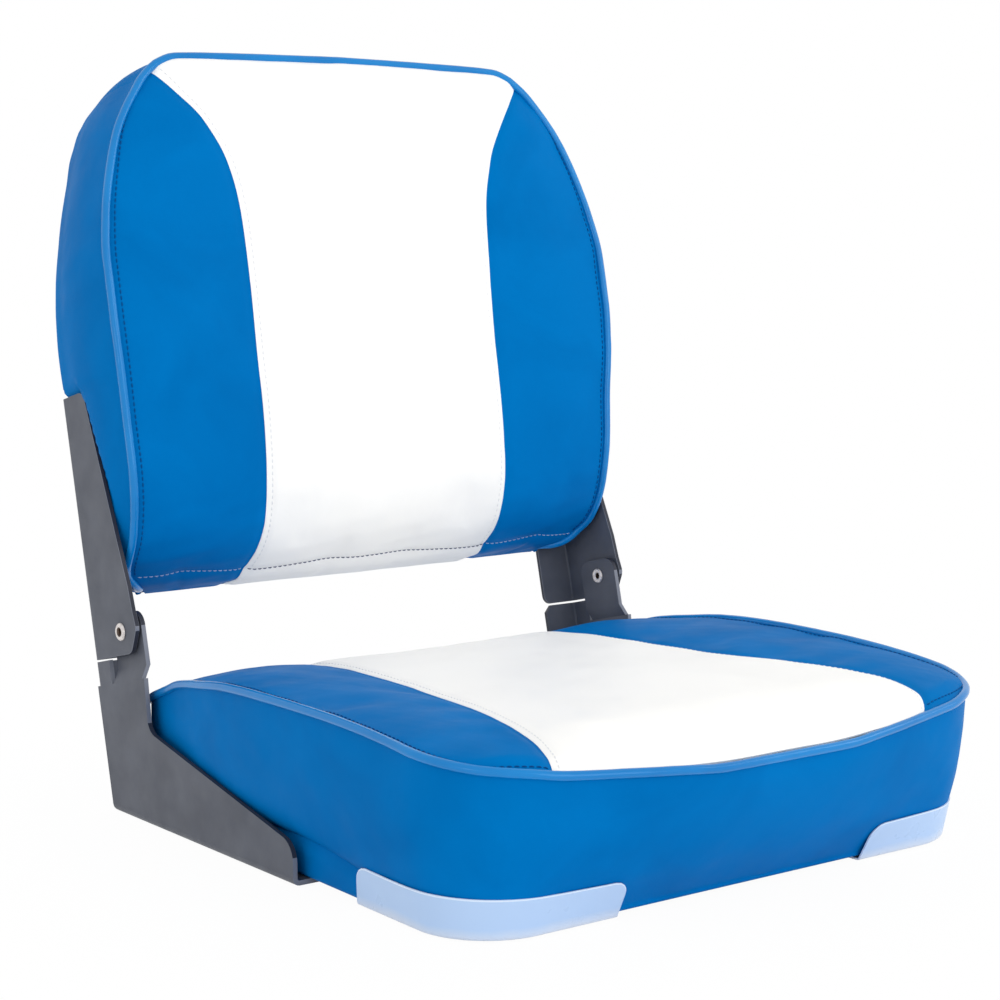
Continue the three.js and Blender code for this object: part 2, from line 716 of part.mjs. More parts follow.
function seatBase() {
  const rim = baseRing(coverThickness + 2 * clearance, 0);
  const core = baseRing(hemWidth + clearance, 0);
  let solid = solidOf(prism(rim, 'z', coverThickness + clearance, baseThickness));
  solid = solid.add(solidOf(prism(core, 'z', 0, coverThickness + clearance + overrun)));
  const pitch = basePocket + baseRib;
  const innerX = baseRearHalfWidth - hemWidth - basePocket / 2;
  const innerY = baseFront - hemWidth - basePocket / 2;
  const insertReach = insertSpacing / 2;
  for (let i = -basePocketRows; i <= basePocketRows; i += 1) {
    for (let j = -basePocketRows; j <= basePocketRows; j += 1) {
      const x = i * pitch;
      const y = j * pitch;
      const inPad = Math.abs(x) < basePad + basePocket / 2 && Math.abs(y) < basePad + basePocket / 2;
      const nearX = Math.abs(Math.abs(x) - insertReach) < basePocket / 2;
      const nearY = Math.abs(Math.abs(y) - insertReach) < basePocket / 2;
      const inside = Math.abs(x) < innerX && y > -innerY && y < baseBehind - hemWidth - basePocket / 2;
      if (inside && !inPad && !(nearX && nearY)) {
        const half = basePocket / 2;
        const pocket = box(x - half, x + half, y - half, y + half, -overrun, basePocketDepth);
        solid = solid.subtract(solidOf(pocket));
      }
    }
  }
  insertPlaces().forEach(({ x, y }) => {
    const barrel = drill(insertBarrel + 2 * clearance, -overrun, baseThickness + overrun);
    const seatBore = baseThickness - insertFlangeThickness - clearance;
    const counterbore = drill(insertFlange + 2 * clearance, seatBore, baseThickness + overrun);
    [barrel, counterbore].forEach((cut) => {
      solid = solid.subtract(solidOf(cut.translate(x, y, 0)));
    });
  });
  lowerScrewPlaces().forEach(({ x, y }) => {
    const pilot = drill(screwShank + 2 * clearance, -overrun, screwLength);
    solid = solid.subtract(solidOf(pilot.translate(x, y, 0)));
  });
  return geometryOf(solid);
}

function insertPlaces() {
  const half = insertSpacing / 2;
  return [
    { name: 'front_left', x: -half, y: -half },
    { name: 'front_right', x: half, y: -half },
    { name: 'rear_left', x: -half, y: half },
    { name: 'rear_right', x: half, y: half },
  ];
}

function threadedInsert() {
  const top = baseThickness;
  const shoulder = top - insertFlangeThickness;
  const bottom = insertRecess;
  return turned([
    [insertBore / 2, bottom], [insertBarrel / 2, bottom], [insertBarrel / 2, shoulder],
    [insertFlange / 2, shoulder], [insertFlange / 2, top], [insertBore / 2, top], [insertBore / 2, bottom],
  ], smallSides);
}

// Backrest cushion
const backColumns = [
  ...bolsterShares.toReversed().map((share) => ({ side: -1, bolster: share })),
  ...backPanelShares.map((share) => ({ side: share, bolster: 0 })),
  ...bolsterShares.map((share) => ({ side: 1, bolster: share })),
];

function backFrontGrid() {
  const lastRow = backProfileShares.length - 1;
  const place = (x, y, z) => new THREE.Vector3(x * backHalfWidth, y * backDepth, z * backTop);
  return backProfileShares.map((row, j) => backColumns.map(({ side, bolster }) => {
    const [seamX, seamY, seamZ, weltX, weltY, weltZ, middleY, middleZ] = row;
    const reach = Math.abs(side);
    const sign = Math.sign(side);
    const x = lerp(reach * seamX, weltX, bolster);
    const inner = lerp(middleY, seamY, reach ** 2);
    const innerZ = lerp(middleZ, seamZ, reach ** 2);
    const bulge = (backBulge / backDepth) * Math.sin(Math.PI * bolster) * Math.min(1, j / backBulgeRows);
    const onTop = j === lastRow;
    const y = lerp(inner, weltY, bolster) - (onTop || j === 0 ? 0 : bulge);
    const z = onTop ? tableValue(backTopEdgeShares, x) : lerp(innerZ, weltZ, bolster);
    return place(sign * x, y, z);
  }));
}

const backGrid = backFrontGrid();
const backNormals = gridNormals(backGrid);
const backFrames = weltFrames(backGrid, backNormals);

// The backrest's grid rises from its bottom edge, so its outward normals point to -Y
const backLastColumn = backColumns.length - 1;
const boardRear = backPlane - sheet - clearance - rearCoverThickness - clearance;
const boardFront = boardRear - boardThickness;
const foamRear = boardFront - clearance;

function backLayers() {
  const layers = coverLayers(backGrid, backNormals, backWeltFrames);
  const [lowest, second] = layers.core;
  lowest.forEach((point, i) => {
    point.lerp(second[i], (point.y - foamRear) / (point.y - second[i].y));
  });
  return layers;
}

// The run of the welt: up the right side, over the top and down the left side
const backWeltFrames = backFrames.filter(({ row, column }) => (
  row > 0 || column === 0 || column === backLastColumn
));
const backCover = backLayers();
const backWeltRun = (() => {
  const start = backWeltFrames.findIndex(({ row, column }) => row === 0 && column === backLastColumn);
  return [...backWeltFrames.slice(start), ...backWeltFrames.slice(0, start)];
})();

// Above its bracket the boxing is free to spread to its full width
const aboveBracket = upperHeight + flangeReach / 2;

function backRearPoint(point) {
  const share = point.z / backTop;
  const inset = tableValue(backRearInsetShares, share) * backHalfWidth;
  const drop = tableValue(backRearDropShares, share) * backTop;
  const limit = point.z > aboveBracket ? backHalfWidth + coverThickness : bracketInner - 3 * clearance;
  const wide = Math.min(Math.abs(point.x) + coverThickness, limit);
  const sideInset = inset * Math.min(1, Math.abs(point.x) / (backHalfWidth / 2));
  return new THREE.Vector3(Math.sign(point.x) * Math.max(0, wide - sideInset), boardRear, point.z - drop);
}

function backBoxingRings() {
  return backBoxingShares.map((share) => backWeltRun.map(({ point, normal, outward }) => {
    const front = point.clone().addScaledVector(normal, -weltSeat);
    const rear = backRearPoint(point);
    const bulge = backSideBulge * Math.sin(Math.PI * share);
    const x = lerp(point.x, rear.x, share) + outward.x * bulge;
    const z = lerp(front.z, rear.z, share) + outward.z * bulge;
    const beside = Math.max(share > 0 ? 0 : Math.abs(point.x), bracketInner - 2 * clearance);
    const limit = z > aboveBracket ? backHalfWidth + backSideBulge : beside;
    return new THREE.Vector3(Math.sign(x) * Math.min(Math.abs(x), limit), lerp(front.y, boardRear, share), z);
  }));
}

function insetUpright(ring, distanceAt) {
  return ring.map((point, k) => {
    const before = ring[Math.max(k - 1, 0)];
    const after = ring[Math.min(k + 1, ring.length - 1)];
    const [x, z] = insetPoint([before.x, before.z], [point.x, point.z], [after.x, after.z], distanceAt(k));
    return new THREE.Vector3(x, point.y, z);
  });
}

const backRings = backBoxingRings();

function backBoxing() {
  const inner = backRings.map((ring) => insetUpright(ring, () => coverThickness));
  const loops = [...backRings, ...inner.toReversed()];
  return loftGeometry(backWeltRun.map((_, k) => loops.map((loop) => loop[k])), false);
}

// The outline of board and rear cover: the rear edge of the boxing, closed along the bottom
function backRearOutline(distance, bottom) {
  const ring = insetUpright(backRings.at(-1), () => distance);
  return ring.map((point) => new THREE.Vector2(point.x, Math.max(point.z, bottom)));
}

function backFoam() {
  const run = new Map(backWeltRun.map((frame, k) => [`${frame.row},${frame.column}`, k]));
  const gap = coverThickness + 2 * clearance;
  const ease = (k) => gap * (1 + Math.max(0, backCornerRows - backWeltRun[k].row));
  const insetRings = backRings.map((ring) => insetUpright(ring, ease));
  const cells = perimeterCells(backGrid.length, backColumns.length);
  const ringAt = (place) => cells.map(([j, i]) => {
    const k = run.get(`${j},${i}`);
    return k === undefined ? backCover.core[j][i].clone() : place(k);
  });
  const [, near, far, rear] = insetRings;
  const rings = [near, far].map((ring) => ringAt((k) => {
    const point = ring[k].clone();
    point.y = Math.min(point.y, foamRear);
    return point;
  }));
  const last = ringAt((k) => {
    const share = THREE.MathUtils.clamp((foamRear - far[k].y) / (rear[k].y - far[k].y), 0, 1);
    const point = far[k].clone().lerp(rear[k], share);
    point.y = foamRear;
    return point;
  });
  return filledGeometry(backCover.core, [...rings, last]);
}

function upperScrewPlaces() {
  const x = bracketHalfSpan - flangeReach + screwInset;
  return upperScrewShares.flatMap((share, n) => mirrorSides.map(([side, name]) => ({
    name: `${name}_${n + 1}`, x: side * x, z: lerp(boardBottom, upperHeight, share),
  })));
}

function lowerScrewPlaces() {
  const x = bracketHalfSpan - flangeReach + screwInset;
  return lowerScrewShares.flatMap((share, n) => mirrorSides.map(([side, name]) => ({
    name: `${name}_${n + 1}`, x: side * x, y: lerp(-footFront, baseBehind, share),
  })));
}

function backBoard() {
  const outline = backRearOutline(2 * coverThickness, boardBottom);
  let solid = solidOf(prism(outline, 'y', boardFront, boardRear));
  upperScrewPlaces().forEach(({ x, z }) => {
    const pilot = drill(screwShank + 2 * clearance, boardRear - screwLength, boardRear + overrun);
    solid = solid.subtract(solidOf(pilot.rotateX(-Math.PI / 2).translate(x, 0, z)));
  });
  return geometryOf(solid);
}

function backRearCover() {
  const front = boardRear + clearance;
  let solid = solidOf(prism(backRearOutline(0, backBottom), 'y', front, front + rearCoverThickness));
  upperScrewPlaces().forEach(({ x, z }) => {
    const hole = drill(screwShank + 2 * clearance, front - overrun, front + rearCoverThickness + overrun);
    solid = solid.subtract(solidOf(hole.rotateX(-Math.PI / 2).translate(x, 0, z)));
  });
  return geometryOf(solid);
}

// Countersunk screw along +Z with its head's face at zero and its point above
function screw() {
  const half = screwShank / 2;
  let solid = solidOf(turned([
    [0, 0], [screwHead / 2, 0], [half, screwHeadDepth], [half, screwLength - half], [0, screwLength],
  ], smallSides));
  [[recessLength, recessWidth], [recessWidth, recessLength]].forEach(([x, y]) => {
    const slot = box(-x / 2, x / 2, -y / 2, y / 2, -overrun, recessDepth);
    solid = solid.subtract(solidOf(slot));
  });
  return geometryOf(solid);
}

function countersink() {
  const head = screwHead / 2 + clearance;
  const hole = screwShank / 2 + clearance;
  return solidOf(turned([
    [0, -overrun], [head, -overrun], [head, 0], [hole, screwHeadDepth], [hole, sheet + overrun],
    [0, sheet + overrun],
  ], smallSides));
}

// Bent sheet: an angle section whose outer bend is rounded, standing along one axis. The first leg lies
// along the outline's first axis and the second leg runs inboard.
function angleSection(length, reach) {
  const inner = bendRadius - sheet;
  return roundedOutline([
    [0, 0, bendRadius], [length, 0, 0], [length, sheet, 0], [sheet, sheet, inner], [sheet, reach, 0],
    [0, reach, 0],
  ]).points;
}

// Upper bracket, in the reclined frame with the pivot at the origin. It is made for the right side.
function upperBracket() {
  const front = -upperNose - overrun;
  const section = angleSection(backPlane - front, flangeReach)
    .map(({ x, y }) => new THREE.Vector2(bracketHalfSpan - y, backPlane - x));
  const tall = solidOf(prism(section.toReversed(), 'z', -upperDrop, upperHeight));
  const side = roundedOutline([
    [backPlane, -upperDrop, 0],
    [backPlane, upperHeight, 0],
    [upperEdgeShares[0][0] * backPlane, upperHeight, upperTopRadius],
    ...upperEdgeShares.slice(1).map(([y, z]) => [y * backPlane, z * upperHeight, upperCornerRadius]),
    [-upperNose, 0, upperTopRadius],
    [-upperNose / 2, -upperDrop, upperTopRadius],
  ]).points;
  const inner = bracketHalfSpan - flangeReach;
  const sideBlank = solidOf(prism(side.toReversed(), 'x', inner - overrun, bracketHalfSpan + overrun));
  const rear = roundedOutline([
    [bracketHalfSpan + overrun, -upperDrop - overrun, 0],
    [bracketHalfSpan + overrun, upperHeight + overrun, 0],
    [inner, upperHeight + overrun, 0],
    [inner, -upperDrop, flangeCornerRadius],
    [inner + flangeReach / 2, -upperDrop, 0],
    [inner + flangeReach / 2, -upperDrop - overrun, 0],
  ]).points;
  const rearBlank = solidOf(prism(rear, 'y', -backPlane, 2 * backPlane));
  let solid = tall.intersect(sideBlank).intersect(rearBlank);
  upperScrewPlaces().filter(({ x }) => x > 0).forEach(({ x, z }) => {
    const sink = countersink().rotate([90, 0, 0]).translate([x, backPlane, z]);
    solid = solid.subtract(sink);
  });
  const pivotHole = drill(rivetShank + 2 * clearance, 0, bracketHalfSpan + overrun).rotateY(Math.PI / 2);
  return geometryOf(solid.subtract(solidOf(pivotHole)));
}

const earOuter = bracketInner - washerThickness - 2 * clearance;
const earInner = earOuter - sheet;
const footBottom = -sheet - clearance;
const stripTop = -upperDrop - plateGap;

// A point of the reclined frame in the upright frame, both centred on the pivot
function upright(y, z) {
  return new THREE.Vector2(
    y * Math.cos(recline) + z * Math.sin(recline),
    z * Math.cos(recline) - y * Math.sin(recline),
  );
}

const tilted = (solid) => solid.rotate([-THREE.MathUtils.radToDeg(recline), 0, 0]);

// Lower bracket, upright with the pivot at the origin. It is made for the right side.
function lowerBracket() {
  const joggleBottom = -earRoot - joggleHeight;
  const ground = footBottom - pivotHeight;
  const heelAt = (height) => {
    const drop = height - upright(backPlane, 0).y;
    return upright(backPlane, 0).x + drop * Math.tan(recline);
  };
  const limbFront = upright(-earHalfWidth - sheet, joggleBottom);
  const limbRear = upright(backPlane, joggleBottom);
  const toe = -footFront - pivotBehind;
  const topFront = footTopHeight - pivotHeight;
  const outline = roundedOutline([
    [heelAt(ground), ground, 0],
    [limbRear.x, limbRear.y, 0],
    [limbFront.x, limbFront.y, 0],
    [footTopBehind + footInnerRadius - pivotBehind, topFront + footInnerRadius / 2, footInnerRadius],
    [toe, ground + footNoseHeight, footNoseRadius],
    [toe, ground, 0],
  ]).points.toReversed();
  const inner = bracketHalfSpan - flangeReach;
  const plate = solidOf(prism(outline, 'x', bracketInner, bracketHalfSpan));

  // The angle that makes the rear flange, cut level at the foot
  const section = angleSection(stripWidth, flangeReach)
    .map(({ x, y }) => new THREE.Vector2(bracketHalfSpan - y, backPlane - x));
  const below = -pivotHeight - backPlane;
  let rearAngle = tilted(solidOf(prism(section.toReversed(), 'z', below, stripTop)));
  const cornerCut = tilted(solidOf(prism([
    new THREE.Vector2(inner - overrun, stripTop - flangeCornerRadius),
    new THREE.Vector2(inner + flangeCornerRadius, stripTop + overrun),
    new THREE.Vector2(inner - overrun, stripTop + overrun),
  ].toReversed(), 'y', 0, 2 * backPlane)));
  const buried = box(0, 2 * bracketHalfSpan, -seatLength, seatLength, ground - seatLength, ground);
  rearAngle = rearAngle.subtract(cornerCut).subtract(solidOf(buried));

  // The angle that makes the foot under the seat base
  const footSection = angleSection(footNoseHeight / 2, flangeReach)
    .map(({ x, y }) => new THREE.Vector2(y, x));
  const heel = heelAt(ground);
  const foot = solidOf(prism(footSection, 'z', 0, heel - toe - bendRadius)
    .applyMatrix4(new THREE.Matrix4().makeBasis(xAxis.clone().negate(), zAxis, yAxis))
    .translate(bracketHalfSpan, toe, ground));

  // The joggle carries the ear inboard of the upper bracket
  const ear = roundedOutline([
    [-earHalfWidth, -earRoot, 0],
    [earHalfWidth, -earRoot, 0],
    [earHalfWidth, earTop, earRadius],
    [-earHalfWidth, earTop, earRadius],
  ]).points;
  const earPlate = tilted(solidOf(prism(ear, 'x', earInner, earOuter)));
  const slope = [
    [bracketInner, joggleBottom], [bracketHalfSpan, joggleBottom], [earOuter, -earRoot], [earInner, -earRoot],
  ].map(([x, z]) => new THREE.Vector2(x, z));
  const joggle = tilted(solidOf(prism(slope, 'y', -earHalfWidth, earHalfWidth)));
  const skirt = tilted(solidOf(box(
    bracketInner, bracketHalfSpan, -earHalfWidth, backPlane - sheet, joggleBottom - sheet, joggleBottom,
  )));
  const pieces = [rearAngle, foot, earPlate, joggle, skirt];
  let solid = pieces.reduce((sum, piece) => sum.add(piece), plate);
  const bendTrim = solidOf(prism(bendCorner(ground), 'y', -seatLength, seatLength));
  solid = solid.subtract(bendTrim);
  lowerScrewPlaces().filter(({ x }) => x > 0).forEach(({ x, y }) => {
    solid = solid.subtract(countersink().translate([x, y - pivotBehind, ground]));
  });
  const pivotHole = drill(rivetShank + 2 * clearance, 0, bracketHalfSpan + overrun).rotateY(Math.PI / 2);
  return geometryOf(solid.subtract(solidOf(pivotHole)));
}

// What lies outside the rounded lower bend, seen along Y
function bendCorner(ground) {
  const centreX = bracketHalfSpan - bendRadius;
  const centreZ = ground + bendRadius;
  const arc = Array.from({ length: bendSteps + 1 }, (_, k) => {
    const angle = -Math.PI / 2 + (k / bendSteps) * (Math.PI / 2);
    return new THREE.Vector2(centreX + bendRadius * Math.cos(angle), centreZ + bendRadius * Math.sin(angle));
  });
  return [
    ...arc.toReversed(),
    new THREE.Vector2(centreX, ground - overrun),
    new THREE.Vector2(bracketHalfSpan + overrun, ground - overrun),
    new THREE.Vector2(bracketHalfSpan + overrun, centreZ),
  ].toReversed();
}

// Tubular rivet along +X through the right bracket pair, with its pivot axis on the origin
function pivotRivet() {
  const headBase = bracketHalfSpan + clearance;
  const headTop = headBase + rivetHeadThickness;
  const rollBase = earInner - clearance;
  const rollTop = rollBase - rivetRollThickness;
  const bore = rivetBore / 2;
  const shank = rivetShank / 2;
  return turned([
    [bore, rollTop], [rivetRoll / 2 - rivetRollThickness / 2, rollTop], [rivetRoll / 2, rollBase],
    [shank, rollBase], [shank, headBase], [rivetHead / 2, headBase],
    [rivetHead / 2 - rivetHeadThickness / 2, headTop], [bore, headTop], [bore, rollTop],
  ]).rotateY(Math.PI / 2);
}

function pivotWasher() {
  const inside = rivetShank / 2 + clearance;
  const from = earOuter + clearance;
  const to = from + washerThickness;
  return turned([
    [inside, from], [washerOuter / 2, from], [washerOuter / 2, to], [inside, to], [inside, from],
  ]).rotateY(Math.PI / 2);
}

// Corner guard of the right front corner: an angle bent round the bottom corner
function cornerGuard() {
  const start = pointOnChain(guardPath, 'x', guardFrontEnd);
  const end = -guardSideEnd;
  const run = guardRun(start, end);
  const lean = (height) => (height / creaseHeight) * boxingLeanShares.at(-1)
    * (seatHalfWidth - baseHalfWidth);
  const sections = run.map(({ point, normal, fromEnd }) => {
    const rounding = Math.max(0, guardCornerRadius - fromEnd);
    const drop = guardCornerRadius - Math.sqrt(Math.max(0, guardCornerRadius ** 2 - rounding ** 2));
    const top = guardHeight - drop;
    const bottom = -guardThickness - clearance;
    const frontness = Math.abs(normal.y) ** 2;
    const reach = (height) => lean(Math.max(height, 0)) * lerp(1, guardFrontLean, frontness);
    const at = (distance, height) => new THREE.Vector3(
      point.x + normal.x * distance, point.y + normal.y * distance, height,
    );
    return [
      at(guardGap + guardThickness + reach(top), top), at(guardGap + guardThickness, bottom),
      at(-guardLip, bottom),
      at(-guardLip, bottom + guardThickness), at(guardGap, bottom + guardThickness),
      at(guardGap + reach(top), top),
    ];
  });
  return loftGeometry(sections, false);
}

const guardPath = [...baseChains.front, ...baseChains.side.slice(1)];
const guardFrontLean = (seatFront - baseFront) / (seatHalfWidth - baseHalfWidth);

// Evenly spaced points of the guard's path with their outward normals, front end first
function guardRun(start, sideEnd) {
  const kept = guardPath.filter(({ x, y }) => x > start.x && y < sideEnd);
  const tail = new THREE.Vector2(baseHalfWidth, sideEnd);
  const path = [start, ...kept, tail];
  const lengths = path.map((point, k) => (k === 0 ? 0 : point.distanceTo(path[k - 1])));
  const total = lengths.reduce((sum, length) => sum + length, 0);
  const place = (distance) => {
    let left = distance;
    for (let k = 1; k < path.length; k += 1) {
      if (left <= lengths[k] || k === path.length - 1) {
        return path[k - 1].clone().lerp(path[k], Math.min(1, left / lengths[k]));
      }
      left -= lengths[k];
    }
    return path.at(-1).clone();
  };
  const ends = guardEndShares.map((share) => share * guardCornerRadius);
  const middle = Array.from({ length: guardSteps - 1 }, (_, k) => (
    lerp(guardCornerRadius, total - guardCornerRadius, (k + 1) / guardSteps)
  ));
  const stations = [...ends, ...middle, ...ends.toReversed().map((end) => total - end)];
  return stations.map((distance) => {
    const ahead = place(Math.min(total, distance + clearance));
    const behind = place(Math.max(0, distance - clearance));
    const tangent = ahead.sub(behind).normalize();
    return {
      point: place(distance),
      normal: new THREE.Vector2(tangent.y, -tangent.x),
      fromEnd: Math.min(distance, total - distance),
    };
  });
}

// Assembly
const seatGroup = new THREE.Group();
const backGroup = new THREE.Group();
backGroup.position.set(0, pivotBehind, pivotHeight);
backGroup.rotation.x = -recline;
const hingeGroup = new THREE.Group();
hingeGroup.position.set(0, pivotBehind, pivotHeight);

function addPiece(group, name, geometry, material) {
  const mesh = new THREE.Mesh(geometry, material);
  mesh.name = name;
  group.add(mesh);
  return mesh;
}

// A piece made for the right side, with its mirror image for the left
function addPair(group, name, geometry, material) {
  addPiece(group, `${name}_right`, geometry, material);
  const mirrored = geometry.clone().scale(-1, 1, 1);
  const index = mirrored.index.array.slice();
  for (let k = 0; k < index.length; k += 3) {
    [index[k + 1], index[k + 2]] = [index[k + 2], index[k + 1]];
  }
  mirrored.setIndex(new THREE.BufferAttribute(index, 1));
  mirrored.computeVertexNormals();
  addPiece(group, `${name}_left`, mirrored, material);
}

function addSeatCushion() {
  const panels = coverPanels(seatLayers, bolsterShares.length, seatPanelShares.length - 1);
  addPiece(seatGroup, 'seat_base', seatBase(), darkPlastic);
  addPiece(seatGroup, 'seat_foam', seatFoam(), foam);
  addPiece(seatGroup, 'seat_top_middle', panels.middle, whiteVinyl);
  addPiece(seatGroup, 'seat_top_left', panels.left, blueVinyl);
  addPiece(seatGroup, 'seat_top_right', panels.right, blueVinyl);
  addPiece(seatGroup, 'seat_boxing', seatBoxing(), blueVinyl);
  addPiece(seatGroup, 'seat_welt', loftGeometry(seatFrames.map(weltSection), true), blueWelt);
  insertPlaces().forEach(({ name, x, y }) => {
    addPiece(seatGroup, `threaded_insert_${name}`, threadedInsert(), brightSteel).position.set(x, y, 0);
  });
}

function addBackCushion() {
  const panels = coverPanels(backCover, bolsterShares.length, backPanelShares.length - 1);
  addPiece(backGroup, 'back_board', backBoard(), plywood);
  addPiece(backGroup, 'back_foam', backFoam(), foam);
  addPiece(backGroup, 'back_front_middle', panels.middle, whiteVinyl);
  addPiece(backGroup, 'back_front_left', panels.left, blueVinyl);
  addPiece(backGroup, 'back_front_right', panels.right, blueVinyl);
  addPiece(backGroup, 'back_boxing', backBoxing(), blueVinyl);
  addPiece(backGroup, 'back_welt', loftGeometry(backWeltRun.map(weltSection), false), blueWelt);
  addPiece(backGroup, 'back_rear_cover', backRearCover(), blueVinyl);
}

function addBrackets() {
  addPair(hingeGroup, 'lower_bracket', lowerBracket(), paintedSteel);
  addPair(backGroup, 'upper_bracket', upperBracket(), paintedSteel);
  addPair(hingeGroup, 'pivot_rivet', pivotRivet(), brightSteel);
  addPair(hingeGroup, 'pivot_washer', pivotWasher(), nylon);
  addPair(seatGroup, 'corner_guard', cornerGuard(), guardPlastic);
}

function addScrews() {
  lowerScrewPlaces().forEach(({ name, x, y }) => {
    addPiece(seatGroup, `base_screw_${name}`, screw(), brightSteel).position.set(x, y, footBottom);
  });
  upperScrewPlaces().forEach(({ name, x, z }) => {
    const mesh = addPiece(backGroup, `back_screw_${name}`, screw(), brightSteel);
    mesh.position.set(x, backPlane, z);
    mesh.rotation.x = Math.PI / 2;
  });
}

addSeatCushion();
addBackCushion();
addBrackets();
addScrews();

const boatSeat = new THREE.Group();
boatSeat.add(seatGroup, backGroup, hingeGroup);

export default boatSeat;
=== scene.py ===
"""Folding boat seat: a sewn vinyl seat on a plastic base, hinged to its backrest by steel brackets.

Lengths are millimetres inside this file and become metres when a mesh is made. The seat is worked out
upright. The backrest is worked out in its own frame, with the pivot at the origin and its rear face on
the brackets, and is leaned back when its meshes are placed.
"""
import logging
import math
from collections.abc import Callable, Sequence
from dataclasses import dataclass, field
from enum import Enum

import bmesh
import bpy
import numpy as np
from mathutils import Matrix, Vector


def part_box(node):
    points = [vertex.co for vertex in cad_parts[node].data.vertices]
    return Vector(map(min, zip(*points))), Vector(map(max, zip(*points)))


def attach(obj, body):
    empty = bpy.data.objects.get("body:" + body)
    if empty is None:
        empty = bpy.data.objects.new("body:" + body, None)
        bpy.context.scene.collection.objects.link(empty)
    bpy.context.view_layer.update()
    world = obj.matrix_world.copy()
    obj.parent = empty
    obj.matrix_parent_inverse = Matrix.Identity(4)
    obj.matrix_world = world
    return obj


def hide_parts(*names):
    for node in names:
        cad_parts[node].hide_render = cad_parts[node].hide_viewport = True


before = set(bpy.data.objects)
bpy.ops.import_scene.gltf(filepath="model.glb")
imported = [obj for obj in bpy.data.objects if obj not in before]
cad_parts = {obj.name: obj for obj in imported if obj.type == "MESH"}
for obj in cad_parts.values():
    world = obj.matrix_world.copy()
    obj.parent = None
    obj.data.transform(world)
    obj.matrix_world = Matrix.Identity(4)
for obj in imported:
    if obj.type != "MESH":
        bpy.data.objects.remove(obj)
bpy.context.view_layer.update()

Array = np.ndarray
Material = bpy.types.Material
Piece = bpy.types.Object
Socket = bpy.types.NodeSocket
Colour = tuple[float, float, float, float]
Screen = tuple[int, int, int]
SIDES = ((-1.0, "left"), (1.0, "right"))
MM = 0.001
TURN = 2.0 * math.pi
QUARTER = math.pi / 2.0
ARC_STEPS = 20  # half the steps in each arc of an outline
WAVES = 9  # waves in each pattern of ripples
LOG = logging.getLogger("boat_seat")


class Body(Enum):
    """Moving bodies of the seat."""

    SEAT = "seat"
    BACK = "back"


class Slot(Enum):
    """Names of material slots; they are passed along when pieces are made, and nothing reads them."""

    BLUE_VINYL = "blue_vinyl"
    BLUE_WELT = "blue_welt"
    WHITE_VINYL = "white_vinyl"
    BRACKET_PAINT = "bracket_paint"
    BRIGHT_STEEL = "bright_steel"
    FOAM = "foam"
    GUARD_PLASTIC = "guard_plastic"


# ---- Numbers, curves and grids ----


def lerp(start: Array | float, end: Array | float, share: Array | float) -> Array:
    """Straight blend of two values, start + (end - start) times share."""
    return start + (end - start) * share


def smooth_share(share: Array) -> Array:
    """Eases a share from 0 to 1: 3 t squared minus 2 t cubed, held outside."""
    held = np.clip(share, 0.0, 1.0)
    return held * held * (3.0 - 2.0 * held)


def unit(vectors: Array) -> Array:
    """Scales vectors along the last axis to length one."""
    return vectors / np.maximum(np.linalg.norm(vectors, axis=-1, keepdims=True), 1e-9)


def bump_at(distance: Array, width: float) -> Array:
    """Bell curve of a distance: e to the minus of its square over the width's square."""
    return np.exp(-np.square(distance / width))


def hermite(knots: Array, values: Array, at: Array) -> Array:
    """Smooth curve through a table that never overshoots.

    Each span is the cubic with the harmonic mean of the neighbouring slopes as its end tangents.

    Args:
        knots: Rising places of the table, shape (n,).
        values: Values there, shape (n, m).
        at: Places to read, any shape.

    Returns:
        Values at those places, shape of `at` plus (m,).
    """
    steps = np.diff(knots)[:, None]
    slopes = np.diff(values, axis=0) / steps
    product = slopes[:-1] * slopes[1:]
    same = product > 0
    mean = 2.0 * product / np.where(same, slopes[:-1] + slopes[1:], 1.0)
    tangents = np.concatenate([slopes[:1], np.where(same, mean, 0.0), slopes[-1:]])
    held = np.clip(at, knots[0], knots[-1])
    k = np.clip(np.searchsorted(knots, held, side="right") - 1, 0, len(knots) - 2)
    width = steps[k]
    t = ((held - knots[k]) / width[..., 0])[..., None]
    rise = t * t * (3.0 - 2.0 * t)
    leave = t * (1.0 - t) ** 2
    arrive = t * t * (t - 1.0)
    bend = width * (leave * tangents[k] + arrive * tangents[k + 1])
    return lerp(values[k], values[k + 1], rise) + bend


@dataclass(frozen=True)
class Curve:
    """A smooth curve through rows of (share, value)."""

    rows: tuple[tuple[float, float], ...]

    def __call__(self, share: Array) -> Array:
        """Reads the curve at an array of shares."""
        table = np.array(self.rows)
        return hermite(table[:, 0], table[:, 1:], np.asarray(share, float))[..., 0]


